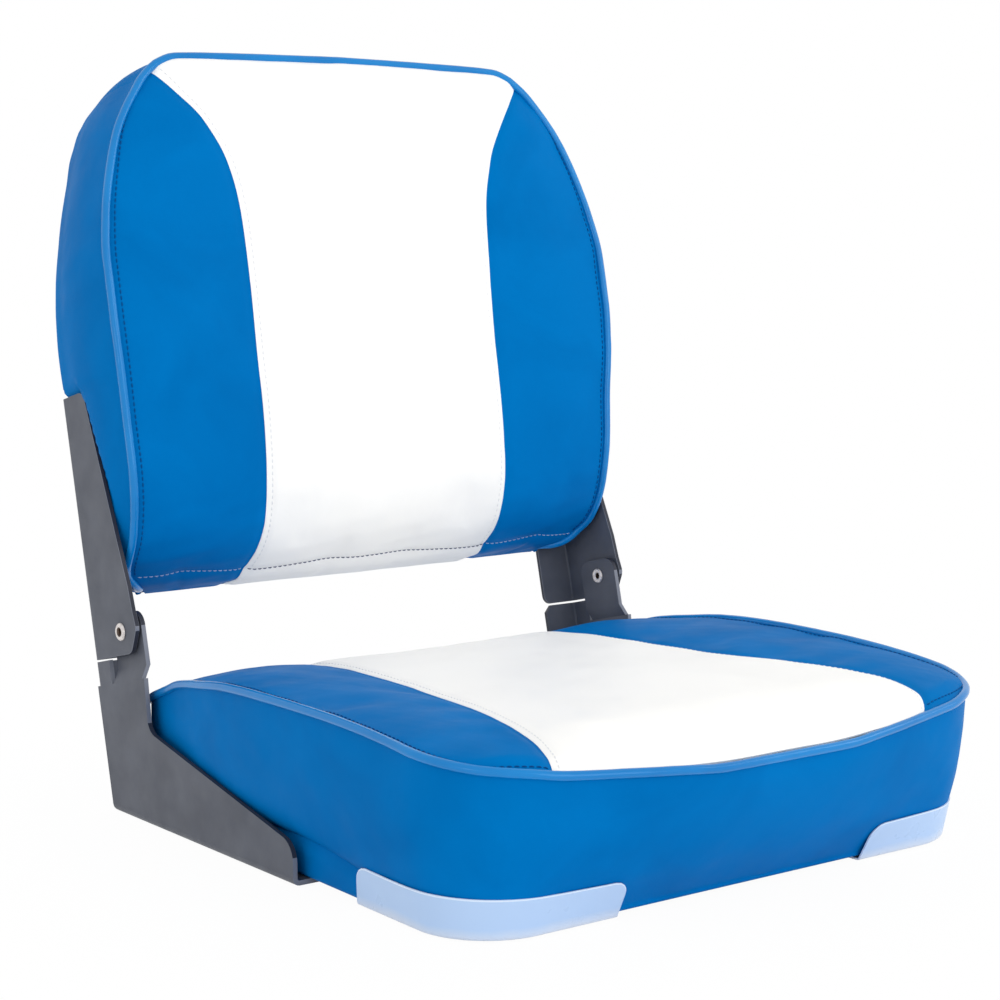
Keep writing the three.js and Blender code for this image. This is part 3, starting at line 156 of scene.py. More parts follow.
def rounded_outline(corners: Sequence[tuple[float, float, float]]) -> tuple[Array, list[int]]:
    """Closed outline whose corners are arcs.

    An arc's centre lies on the corner's bisector at radius over the sine of half the angle.

    Args:
        corners: Rows of (x, y, radius) in order.

    Returns:
        The outline's points and the index of the middle of each arc.
    """
    places = np.array(corners, float)
    parts, middles, total = [], [], 0
    for here, before, after in zip(places, np.roll(places, 1, 0), np.roll(places, -1, 0)):
        back, ahead = unit(before[:2] - here[:2]), unit(after[:2] - here[:2])
        half = math.acos(np.clip(back @ ahead, -1.0, 1.0)) / 2.0
        centre = here[:2] + unit(back + ahead) * here[2] / math.sin(half)
        first = here[:2] + back * here[2] / math.tan(half) - centre
        last = here[:2] + ahead * here[2] / math.tan(half) - centre
        start, end = math.atan2(first[1], first[0]), math.atan2(last[1], last[0])
        sweep = (end - start + math.pi) % TURN - math.pi
        angles = start + sweep * np.linspace(0.0, 1.0, 2 * ARC_STEPS + 1)
        parts.append(centre + here[2] * np.stack([np.cos(angles), np.sin(angles)], -1))
        middles.append(total + ARC_STEPS)
        total += 2 * ARC_STEPS + 1
    return np.concatenate(parts), middles


def chain_between(outline: Array, start: int, end: int) -> Array:
    """Part of a closed outline from one index to another, in order."""
    count = (end - start) % len(outline)
    return np.roll(outline, -start, axis=0)[: count + 1]


def read_chain(chain: Array, axis: int, value: Array) -> Array:
    """The other coordinate of a chain where one coordinate has a value.

    Args:
        chain: Points in the plane whose coordinate along `axis` rises or falls all the way.
        axis: 0 to look up by x, 1 by y.
        value: Values of that coordinate.

    Returns:
        The other coordinate there.
    """
    order = chain if chain[-1, axis] > chain[0, axis] else chain[::-1]
    return np.interp(value, order[:, axis], order[:, 1 - axis])


def ripples(points: Array, wavelength: float, seed: int) -> Array:
    """Uneven waves: the sum of cosines of p.k + phase with random directions, about -1 to 1.

    Args:
        points: Places, shape (..., 3).
        wavelength: Typical wavelength.
        seed: Seed of the directions and phases.

    Returns:
        The height of the waves, shape (...).
    """
    rng = np.random.default_rng(seed)
    direction = unit(rng.normal(size=(WAVES, 3)))
    waves = direction * 2.0 * math.pi / (wavelength * rng.uniform(0.7, 1.5, (WAVES, 1)))
    phase = rng.uniform(0.0, TURN, WAVES)
    return np.cos(points @ waves.T + phase).sum(-1) / math.sqrt(2.0 * WAVES)


def grid_normals(points: Array, wrap: bool = False) -> Array:
    """Unit normals of a grid: the difference along columns crossed with the difference along rows.

    Args:
        points: Grid of shape (rows, columns, 3).
        wrap: Whether the last column joins the first.

    Returns:
        Normals of the same shape.
    """
    along = np.gradient(points, axis=0)
    across = (np.roll(points, -1, 1) - np.roll(points, 1, 1)) if wrap else np.gradient(points, axis=1)
    return unit(np.cross(across, along))


def bicubic(grid: Array, row: Array, column: Array) -> Array:
    """Reads a grid between its points with the Catmull-Rom spline in both directions.

    Args:
        grid: Values of shape (rows, columns, m).
        row: Fractional row indices.
        column: Fractional column indices, same shape.

    Returns:
        Values, shape of `row` plus (m,).
    """
    def weights(t: Array) -> list[Array]:
        """Four Catmull-Rom weights at a fraction between the two middle points.

        Args:
            t: Fractions.

        Returns:
            The weights.
        """
        return [
            (-t + 2 * t**2 - t**3) / 2, (2 - 5 * t**2 + 3 * t**3) / 2,
            (t + 4 * t**2 - 3 * t**3) / 2, (-(t**2) + t**3) / 2,
        ]

    rows, columns = grid.shape[:2]
    j, i = np.floor(row).astype(int), np.floor(column).astype(int)
    total = np.zeros(row.shape + grid.shape[2:])
    for dj, wj in enumerate(weights(row - j)):
        for di, wi in enumerate(weights(column - i)):
            near = grid[np.clip(j + dj - 1, 0, rows - 1), np.clip(i + di - 1, 0, columns - 1)]
            total += (wj * wi)[..., None] * near
    return total


def coons(first: Array, last: Array, left: Array, right: Array) -> Array:
    """Surface filling four edges: the two ruled surfaces less the bilinear one of the corners.

    Args:
        first: Edge of row 0, shape (columns, 3).
        last: Edge of the last row, same shape.
        left: Edge of column 0, shape (rows, 3).
        right: Edge of the last column, same shape.

    Returns:
        Grid of shape (rows, columns, 3).
    """
    v = np.linspace(0.0, 1.0, len(left))[:, None, None]
    u = np.linspace(0.0, 1.0, len(first))[None, :, None]
    corners = lerp(lerp(first[0], first[-1], u), lerp(last[0], last[-1], u), v)
    return lerp(first[None], last[None], v) + lerp(left[:, None], right[:, None], u) - corners


def quads(rows: int, columns: int, wrap_rows: bool = False, wrap_columns: bool = False) -> Array:
    """Four-sided faces of a grid whose point (j, i) has index j times columns plus i.

    Args:
        rows: Number of rows.
        columns: Number of columns.
        wrap_rows: Whether the last row joins the first.
        wrap_columns: Whether the last column joins the first.

    Returns:
        Faces, shape (count, 4).
    """
    j, i = np.meshgrid(
        np.arange(rows if wrap_rows else rows - 1), np.arange(columns if wrap_columns else columns - 1),
        indexing="ij",
    )
    next_j, next_i = (j + 1) % rows, (i + 1) % columns
    corners = [j * columns + i, j * columns + next_i, next_j * columns + next_i, next_j * columns + i]
    return np.stack(corners, -1).reshape(-1, 4)


def rim(rows: int, columns: int) -> Array:
    """Indices round the edge of a grid: along row 0, up the last column, back, and down column 0.

    Args:
        rows: Number of rows.
        columns: Number of columns.

    Returns:
        Indices in order.
    """
    return np.concatenate([
        np.arange(columns), np.arange(1, rows) * columns + columns - 1,
        (rows - 1) * columns + np.arange(columns - 2, -1, -1), np.arange(rows - 2, 0, -1) * columns,
    ])


def shell(outer: Array, inner: Array, wrap: bool = False) -> tuple[Array, Array]:
    """Closed thin solid between two grids, with walls along the edges they don't share.

    Args:
        outer: Outer face, shape (rows, columns, 3).
        inner: Inner face, same shape.
        wrap: Whether the last column joins the first.

    Returns:
        Points and faces.
    """
    rows, columns, _ = outer.shape
    count = rows * columns
    face = quads(rows, columns, wrap_columns=wrap)
    if wrap:
        low, high = np.arange(columns), (rows - 1) * columns + np.arange(columns)
        pairs = [(low, np.roll(low, -1)), (np.roll(high, -1), high)]
    else:
        edge = rim(rows, columns)
        pairs = [(edge, np.roll(edge, -1))]
    walls = [np.stack([a, a + count, b + count, b], -1) for a, b in pairs]
    points = np.concatenate([outer.reshape(-1, 3), inner.reshape(-1, 3)])
    return points, np.concatenate([face, face[:, ::-1] + count, *walls])


def tube(
    path: Array, across: Array, up: Array, radii: Array, sides: int, closed: bool
) -> tuple[Array, list[Array]]:
    """Round tube along a path: path + radius times (across cos a + up sin a).

    Args:
        path: Centre line, shape (n, 3).
        across: Unit vectors square to the path, shape (n, 3).
        up: Unit vectors square to both, shape (n, 3).
        radii: Radius at each station, shape (n,) or one number.
        sides: Number of sides.
        closed: Whether the end joins the start. If not, both ends get a cap.

    Returns:
        Points and a list of face arrays.
    """
    angle = turn_steps(sides)[None, :, None]
    spread = np.broadcast_to(radii, len(path))[:, None, None]
    points = path[:, None] + spread * (across[:, None] * np.cos(angle) + up[:, None] * np.sin(angle))
    faces = [quads(len(path), sides, wrap_rows=closed, wrap_columns=True)]
    if not closed:
        ring = np.arange(sides)
        faces += [ring[None, ::-1], ((len(path) - 1) * sides + ring)[None]]
    return points.reshape(-1, 3), faces


def lathe(profile: Array, sides: int) -> tuple[Array, Array]:
    """Solid of revolution about Z from a closed profile: (r cos a, r sin a, h).

    Args:
        profile: Closed loop of (radius, height) rows, with no radius of zero.
        sides: Number of steps round.

    Returns:
        Points and faces.
    """
    angle = turn_steps(sides)
    radius, height = profile[:, :1], profile[:, 1:]
    points = np.stack([radius * np.cos(angle), radius * np.sin(angle), height + 0.0 * angle], -1)
    return points.reshape(-1, 3), quads(len(profile), sides, wrap_rows=True, wrap_columns=True)


def turn_steps(count: int) -> Array:
    """Angles of equal steps round a full turn."""
    return np.linspace(0.0, TURN, count, endpoint=False)


def arc_lengths(path: Array) -> Array:
    """Distance along a path at each of its points, starting at zero."""
    return np.concatenate([[0.0], np.cumsum(np.linalg.norm(np.diff(path, axis=0), axis=1))])


def resample(path: Array, distances: Array, *others: Array) -> tuple[Array, ...]:
    """Reads a path, and arrays that go with it, at distances along it.

    Args:
        path: Points, shape (n, 3).
        distances: Distances along the path.
        others: Further arrays of shape (n, m).

    Returns:
        The path and each other array at those distances.
    """
    lengths = arc_lengths(path)
    return tuple(
        np.stack([np.interp(distances, lengths, column) for column in array.T], -1)
        for array in (path, *others)
    )


def stitch_row(path: Array, normals: Array, pitch: float, thread: float) -> tuple[Array, list[Array]]:
    """Row of stitches, each a short bent thread that rises from the cover and dives back into it.

    At share t of a stitch of length L the thread's middle lies L (t - 1/2) along the path and
    thread (2.4 t (1 - t) - 0.35) above the cover, with radius thread / 2 times the fourth root of
    1 - (2t - 1) to the fourth.

    Args:
        path: Line of the seam on the cover, shape (n, 3).
        normals: Outward normals there.
        pitch: Distance from one stitch to the next.
        thread: Thickness of the thread.

    Returns:
        Points and face arrays.
    """
    total = arc_lengths(path)[-1]
    places = np.arange(pitch / 2.0, total, pitch)
    centre, normal = resample(path, places, normals)
    ahead, = resample(path, places + 0.5)
    behind, = resample(path, places - 0.5)
    tangent, normal = unit(ahead - behind), unit(normal)
    side = unit(np.cross(tangent, normal))
    rings, sides = 6, 6
    t = np.linspace(0.0, 1.0, rings)[None, :, None, None]
    angle = turn_steps(sides)[None, None, :, None]
    radius = thread / 2.0 * np.maximum(1.0 - (2.0 * t - 1.0) ** 4, 0.04) ** 0.25
    lift = thread * (2.4 * t * (1.0 - t) - 0.35)
    wide = [vector[:, None, None, :] for vector in (centre, tangent, side, normal)]
    points = wide[0] + wide[1] * (0.74 * pitch * (t - 0.5)) + wide[2] * radius * np.cos(angle)
    points = points + wide[3] * (lift + radius * np.sin(angle))
    start = (np.arange(len(places)) * rings * sides)[:, None, None]
    face = quads(rings, sides, wrap_columns=True)[None] + start
    ring = np.arange(sides)[None, None, :]
    caps = [ring[..., ::-1] + start, ring + (rings - 1) * sides + start]
    return points.reshape(-1, 3), [face.reshape(-1, 4), *[cap.reshape(-1, sides) for cap in caps]]


def signed_volume(points: Array, faces: Sequence[Array]) -> float:
    """Six times the volume inside faces, by fans of triangles from each face's first corner.

    Args:
        points: Points, shape (n, 3).
        faces: Arrays of faces.

    Returns:
        The number, above zero where the faces turn outwards.
    """
    total = 0.0
    for face in faces:
        for k in range(1, face.shape[1] - 1):
            a, b, c = points[face[:, 0]], points[face[:, k]], points[face[:, k + 1]]
            total += float(np.einsum("ij,ij->", a, np.cross(b, c)))
    return total


def as_is(points: Array) -> Array:
    """Leaves points where they are."""
    return points


@dataclass
class Draft:
    """Closed parts gathered under one name before they become one object."""

    name: str
    points: list[Array] = field(default_factory=list)
    faces: list[Array] = field(default_factory=list)

    def add(self, points: Array, faces: Array | Sequence[Array]) -> "Draft":
        """Adds a closed part and turns its faces outwards.

        Args:
            points: Points, shape (n, 3).
            faces: One array of faces or several.

        Returns:
            This draft.
        """
        several = [faces] if isinstance(faces, np.ndarray) else list(faces)
        middle = points - points.mean(0)
        turned = several if signed_volume(middle, several) > 0 else [face[:, ::-1] for face in several]
        offset = sum(len(part) for part in self.points)
        self.points.append(points)
        self.faces += [face + offset for face in turned]
        return self

    def make(
        self, body: Body, slot: Slot, material: Material,
        place: Callable[[Array], Array] = as_is, sharp: float = 40.0, replaces: Sequence[str] = (),
    ) -> Piece:
        """Turns the draft into a mesh object that rides on a body.

        Args:
            body: Body that it moves with.
            slot: Record slot of its finish. Not used.
            material: Its material.
            place: Moves points from their working frame into the row frame.
            sharp: Edges sharper than this many degrees stay sharp.
            replaces: CAD nodes that it stands for.

        Returns:
            The object.
        """
        mesh = bpy.data.meshes.new(self.name)
        points = place(np.concatenate(self.points)) * MM
        mesh.from_pydata(points.tolist(), [], [row for face in self.faces for row in face.tolist()])
        mesh.shade_smooth()
        mesh.set_sharp_from_angle(angle=math.radians(sharp))
        mesh.update()
        mesh.materials.append(material)
        return adopt(bpy.data.objects.new(self.name, mesh), body, replaces)


def adopt(
    piece: Piece, body: Body, replaces: Sequence[str] = ()
) -> Piece:
    """Links a piece to the scene, parents it to its body and hides the CAD nodes that it stands for.

    Args:
        piece: New object.
        body: Body that it moves with.
        replaces: CAD nodes that it stands for.

    Returns:
        The same object.
    """
    bpy.context.scene.collection.objects.link(piece)
    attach(piece, body.value)
    if replaces:
        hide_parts(*replaces)
    LOG.info("%s: %d faces on %s", piece.name, len(piece.data.polygons), body.value)
    return piece


# ---- Finishes ----


def linear(red: int, green: int, blue: int) -> Colour:
    """Linear colour of a screen colour given from 0 to 255.

    Args:
        red: Red from 0 to 255.
        green: Green.
        blue: Blue.

    Returns:
        Linear red, green and blue, and an alpha of 1.
    """
    share = np.array([red, green, blue]) / 255.0
    value = np.where(share <= 0.04045, share / 12.92, ((share + 0.055) / 1.055) ** 2.4)
    return (float(value[0]), float(value[1]), float(value[2]), 1.0)


class Shader:
    """Wires the nodes of one material."""

    def __init__(self, name: str, **sockets: float | Colour) -> None:
        """Starts a material.

        Args:
            name: Material's name.
            sockets: Values of the surface shader's sockets, with underscores for spaces.
        """
        self.material = bpy.data.materials.new(name)
        self.material.use_nodes = True
        self.tree = self.material.node_tree
        self.surface = self.tree.nodes["Principled BSDF"]
        self.place = self.add("ShaderNodeTexCoord").outputs["Object"]
        for key, value in sockets.items():
            self.surface.inputs[key.replace("_", " ")].default_value = value

    def add(self, kind: str, inputs: dict | None = None, **settings: object) -> bpy.types.Node:
        """Adds a node.

        Args:
            kind: Node type.
            inputs: Values or sockets for its inputs.
            settings: Properties of the node.

        Returns:
            The node.
        """
        node = self.tree.nodes.new(kind)
        for key, value in settings.items():
            setattr(node, key, value)
        for key, value in (inputs or {}).items():
            if isinstance(value, Socket):
                self.tree.links.new(value, node.inputs[key])
            else:
                node.inputs[key].default_value = value
        return node

    def feed(self, socket: str, output: Socket) -> None:
        """Links an output to a socket of the surface shader."""
        self.tree.links.new(output, self.surface.inputs[socket])

    def combine(
        self, operation: str, first: Socket, second: Socket | float
    ) -> Socket:
        """Result of an operation on two values."""
        return self.add("ShaderNodeMath", {0: first, 1: second}, operation=operation).outputs[0]

    def noise(self, scale: float, detail: float, distortion: float = 0.0) -> Socket:
        """Cloudy pattern on the piece's own coordinates.

        Args:
            scale: Cells per metre.
            detail: Octaves of finer pattern.
            distortion: How far the pattern is pushed about.

        Returns:
            Its value socket.
        """
        inputs = {"Vector": self.place, "Scale": scale, "Detail": detail, "Distortion": distortion}
        return self.add("ShaderNodeTexNoise", inputs).outputs["Fac"]

    def cells(self, scale: float, feature: str = "F1") -> Socket:
        """Cell pattern on the piece's own coordinates, as its distance socket."""
        inputs = {"Vector": self.place, "Scale": scale}
        return self.add("ShaderNodeTexVoronoi", inputs, feature=feature).outputs["Distance"]

    def ramp(self, share: Socket, *stops: tuple[float, Screen]) -> Socket:
        """Maps a value to colours.

        Args:
            share: Value socket.
            stops: Two or more pairs of (place, screen colour) in order.

        Returns:
            Its colour socket.
        """
        node = self.add("ShaderNodeValToRGB", {"Fac": share})
        band = node.color_ramp.elements
        for index, (place, colour) in enumerate(stops):
            element = band[index] if index < 2 else band.new(place)
            element.position, element.color = place, linear(*colour)
        return node.outputs["Color"]

    def spread(self, share: Socket, low: float, high: float) -> Socket:
        """Maps a value from 0.3-0.7 to a range, as for roughness that varies."""
        inputs = {"Value": share, "From Min": 0.3, "From Max": 0.7, "To Min": low, "To Max": high}
        return self.add("ShaderNodeMapRange", inputs).outputs["Result"]

    def emboss(self, *layers: tuple[Socket, float, float]) -> None:
        """Adds height patterns to the surface's normal.

        Args:
            layers: (height socket, strength, depth in millimetres) for each pattern.
        """
        last = None
        for height, strength, depth in layers:
            inputs = {"Height": height, "Strength": strength, "Distance": depth * MM}
            if last is not None:
                inputs["Normal"] = last
            last = self.add("ShaderNodeBump", inputs).outputs["Normal"]
        self.feed("Normal", last)


@dataclass(frozen=True)
class Finish:
    """A finish whose colour wanders between two screen colours."""

    name: str
    colour: Screen
    shade: Screen

    def material(self) -> Material:
        """Builds the material."""
        raise NotImplementedError


@dataclass(frozen=True)
class Vinyl(Finish):
    """Grained marine vinyl: small raised cells, fine creases and a faint unevenness of colour."""

    roughness: tuple[float, float] = (0.42, 0.54)
    grain: float = 0.05
    crease: float = 0.3
    gloss: float = 0.02
    tint: Colour = (0.12, 0.45, 0.9, 1.0)

    def material(self) -> Material:
        """Builds the material.

        Returns:
            The material.
        """
        shader = Shader(self.name, Specular_IOR_Level=self.gloss, Specular_Tint=self.tint, IOR=1.5)
        cloud = shader.noise(14.0, 4.0, 0.6)
        shader.feed("Base Color", shader.ramp(cloud, (0.3, self.shade), (0.62, self.colour)))
        shader.feed("Roughness", shader.spread(shader.noise(45.0, 5.0), *self.roughness))
        shader.emboss(
            (shader.noise(42.0, 2.0, 1.4), 0.5, self.crease),
            (shader.noise(190.0, 3.0, 0.8), 0.4, self.crease / 4.0),
            (shader.cells(900.0, "SMOOTH_F1"), 0.55, self.grain),
        )
        return shader.material


@dataclass(frozen=True)
class PowderCoat(Finish):
    """Powder-coated steel: a soft orange-peel skin with slightly rubbed patches of the shade."""

    def material(self) -> Material:
        """Builds the material.

        Returns:
            The material.
        """
        coat = {"Coat_Weight": 0.04, "Coat_Roughness": 0.3}
        shader = Shader(self.name, Specular_IOR_Level=0.22, IOR=1.5, **coat)
        patch = shader.noise(30.0, 5.0)
        shader.feed("Base Color", shader.ramp(patch, (0.35, self.colour), (0.72, self.shade)))
        shader.feed("Roughness", shader.spread(shader.noise(80.0, 4.0), 0.38, 0.5))
        shader.emboss((shader.noise(420.0, 2.0), 0.5, 0.05), (shader.noise(1600.0, 1.0), 0.3, 0.01))
        return shader.material


@dataclass(frozen=True)
class PlatedSteel(Finish):
    """Plated steel with fine scratches and dull spots of the shade."""

    metallic: float = 1.0

    def material(self) -> Material:
        """Builds the material.

        Returns:
            The material.
        """
        shader = Shader(self.name, Metallic=self.metallic)
        spots = shader.noise(500.0, 4.0)
        shader.feed("Base Color", shader.ramp(spots, (0.35, self.shade), (0.65, self.colour)))
        shader.feed("Roughness", shader.spread(shader.noise(900.0, 3.0), 0.22, 0.42))
        shader.emboss((shader.noise(2500.0, 2.0), 0.25, 0.01))
        return shader.material


@dataclass(frozen=True)
class MouldedPlastic(Finish):
    """Moulded plastic with a spark-eroded surface."""

    def material(self) -> Material:
        """Builds the material.

        Returns:
            The material.
        """
        shader = Shader(self.name, IOR=1.48)
        cloud = shader.noise(35.0, 4.0)
        shader.feed("Base Color", shader.ramp(cloud, (0.3, self.shade), (0.7, self.colour)))
        shader.feed("Roughness", shader.spread(shader.noise(70.0, 4.0), 0.5, 0.65))
        shader.emboss((shader.noise(60.0, 2.0), 0.3, 0.12), (shader.cells(1500.0), 0.3, 0.02))
        return shader.material


@dataclass(frozen=True)
class MilkyPlastic(Finish):
    """Thin milky plastic: the cover behind tints it, the bare bottom bend has the paler shade."""

    bend_height: float = 3.0
    waver: float = 6.0

    def material(self) -> Material:
        """Builds the material, whose colour turns with height over a few millimetres.

        Returns:
            The material.
        """
        shader = Shader(self.name, IOR=1.48, Specular_IOR_Level=0.35)
        height = shader.add("ShaderNodeSeparateXYZ", {"Vector": shader.place}).outputs["Z"]
        wave = shader.combine("MULTIPLY", shader.noise(25.0, 3.0), self.waver * MM)
        level = shader.combine("SUBTRACT", height, wave)
        inputs = {"Value": level, "From Min": -self.waver * MM, "From Max": self.bend_height * MM}
        share = shader.add("ShaderNodeMapRange", inputs).outputs["Result"]
        shader.feed("Base Color", shader.ramp(share, (0.2, self.shade), (0.9, self.colour)))
        shader.feed("Roughness", shader.spread(shader.noise(70.0, 4.0), 0.25, 0.38))
        shader.emboss((shader.noise(40.0, 2.0), 0.3, 0.15))
        return shader.material


@dataclass(frozen=True)
class FoamBlock(Finish):
    """Open-cell upholstery foam."""

    def material(self) -> Material:
        """Builds the material.

        Returns:
            The material.
        """
        shader = Shader(self.name, Roughness=0.95)
        pores = shader.cells(700.0)
        shader.feed("Base Color", shader.ramp(pores, (0.1, self.shade), (0.6, self.colour)))
        shader.emboss((pores, 0.8, 0.5))
        return shader.material


@dataclass(frozen=True)
class Plywood(Finish):
    """Birch plywood with grain drawn out along Z."""

    def material(self) -> Material:
        """Builds the material.

        Returns:
            The material.
        """
        shader = Shader(self.name)
        stretch = shader.add("ShaderNodeMapping", {"Vector": shader.place, "Scale": (1.0, 1.0, 0.08)})
        inputs = {"Vector": stretch.outputs["Vector"], "Scale": 160.0, "Detail": 6.0, "Distortion": 1.5}
        grain = shader.add("ShaderNodeTexNoise", inputs).outputs["Fac"]
        shader.feed("Base Color", shader.ramp(grain, (0.35, self.shade), (0.65, self.colour)))
        shader.feed("Roughness", shader.spread(grain, 0.65, 0.85))
        shader.emboss((grain, 0.4, 0.15))
        return shader.material


@dataclass(frozen=True)
class Thread(Finish):
    """Twisted sewing thread."""

    def material(self) -> Material:
        """Builds the material.

        Returns:
            The material.
        """
        shader = Shader(self.name, Roughness=0.75, Specular_IOR_Level=0.12)
        fibres = shader.noise(3000.0, 2.0)
        shader.feed("Base Color", shader.ramp(fibres, (0.35, self.shade), (0.65, self.colour)))
        shader.emboss((fibres, 0.4, 0.05))
        return shader.material


class Finishes:
    """Every material of the seat, made once."""

    def __init__(self) -> None:
        """Builds the materials."""
        self.blue = Vinyl("blue_marine_vinyl", (0, 112, 184), (0, 104, 174)).material()
        self.piping = Vinyl(
            "blue_piping_vinyl", (10, 126, 198), (0, 114, 186), roughness=(0.16, 0.25), grain=0.03,
            crease=0.1, gloss=0.5, tint=(0.6, 0.82, 1.0, 1.0),
        ).material()
        self.white = Vinyl(
            "white_marine_vinyl", (251, 250, 247), (248, 247, 244), roughness=(0.42, 0.55), gloss=0.3,
            tint=(1.0, 1.0, 1.0, 1.0),
        ).material()
        self.paint = PowderCoat("grey_powder_coat", (78, 82, 92), (92, 96, 106)).material()
        # Painted highlight: a pale grey for the bevels and front-facing edges of the bracket sheets.
        self.edge_highlight_paint = PowderCoat("painted_highlight_edge_paint", (116, 120, 131), (130, 134, 145)).material()
        # Painted shade: a dark grey for the thin edge faces of the bracket sheets.
        self.edge_shade_paint = PowderCoat("painted_shade_edge_paint", (42, 45, 56), (52, 55, 66)).material()
        self.steel = PlatedSteel("zinc_plated_steel", (205, 200, 196), (150, 146, 142)).material()
        self.rivet = PlatedSteel("nickel_rivet", (232, 226, 223), (204, 197, 194), 0.3).material()
        # Painted shade: a dark brown for the inside of the rivet's bore.
        self.hollow_shade = PlatedSteel("rivet_hollow_painted_shade", (96, 78, 66), (50, 40, 36), 0.3).material()
        self.nylon = MouldedPlastic("black_nylon", (32, 33, 36), (22, 23, 25)).material()
        self.base = MouldedPlastic("charcoal_base_plastic", (44, 46, 50), (34, 36, 39)).material()
        self.guard = MilkyPlastic("milky_guard_plastic", (178, 204, 237), (206, 216, 232)).material()
        # Painted highlight: a paler guard colour for the rims along its top edge and ends.
        self.guard_edge_highlight = MilkyPlastic("milky_guard_painted_highlight", (214, 229, 248), (222, 230, 242)).material()
        self.foam = FoamBlock("cream_foam", (233, 223, 180), (190, 178, 130)).material()
        self.board = Plywood("birch_plywood", (190, 150, 100), (150, 110, 68)).material()
        self.white_thread = Thread("white_thread", (244, 244, 243), (226, 227, 230)).material()
        self.blue_thread = Thread("blue_thread", (4, 84, 148), (0, 64, 122)).material()
        self.hem_thread = Thread("pale_hem_thread", (168, 188, 216), (120, 148, 190)).material()
        self.dark_thread = Thread("dark_hem_thread", (92, 96, 122), (70, 74, 98)).material()


# ---- Cushions ----


def perimeter(place: Array) -> tuple[Array, Array]:
    """Rows and columns of a cushion's edge, as shares v from 0 to 1 and c from -2 to 2.

    Args:
        place: Place round the edge. The front is 0 to 1, the right side 1 to 2, the rear 2 to 3 and
            the left side 3 to 4.

    Returns:
        v and c at each place.
    """
    side = np.floor(place).astype(int) % 4
    share = place - np.floor(place)
    v = np.choose(side, [0.0 * share, share, 1.0 + 0.0 * share, 1.0 - share])
    c = np.choose(side, [4.0 * share - 2.0, 2.0 + 0.0 * share, 2.0 - 4.0 * share, -2.0 + 0.0 * share])
    return v, c


def column_shares(c: Array) -> tuple[Array, Array]:
    """Shares of the way from the middle to the seam and from the seam to the piping of columns."""
    return np.minimum(np.abs(c), 1.0), np.clip(np.abs(c) - 1.0, 0.0, 1.0)


@dataclass
class Swell:
    """How far the simulated cloth moved, over the top cover and over the band."""

    top: Array
    band: Array

    def on_top(self, v: Array, c: Array) -> Array:
        """Movement of the top cover at rows v (0 to 1) and columns c (-2 to 2)."""
        rows, columns = self.top.shape[:2]
        return bicubic(self.top, v * (rows - 1), (c + 2.0) / 4.0 * (columns - 1))

    def on_band(self, place: Array, level: Array) -> Array:
        """Movement of the band at a place round the edge and a level from 0 at the piping to 1.

        Args:
            place: Places round the edge.
            level: Levels from 0 at the piping to 1.

        Returns:
            Movements, shape (..., 3).
        """
        levels, stations = self.band.shape[:2]
        padded = np.concatenate([self.band[:, -3:], self.band, self.band[:, :3]], axis=1)
        return bicubic(padded, level * (levels - 1), (place % 4.0) / 4.0 * stations + 3.0)


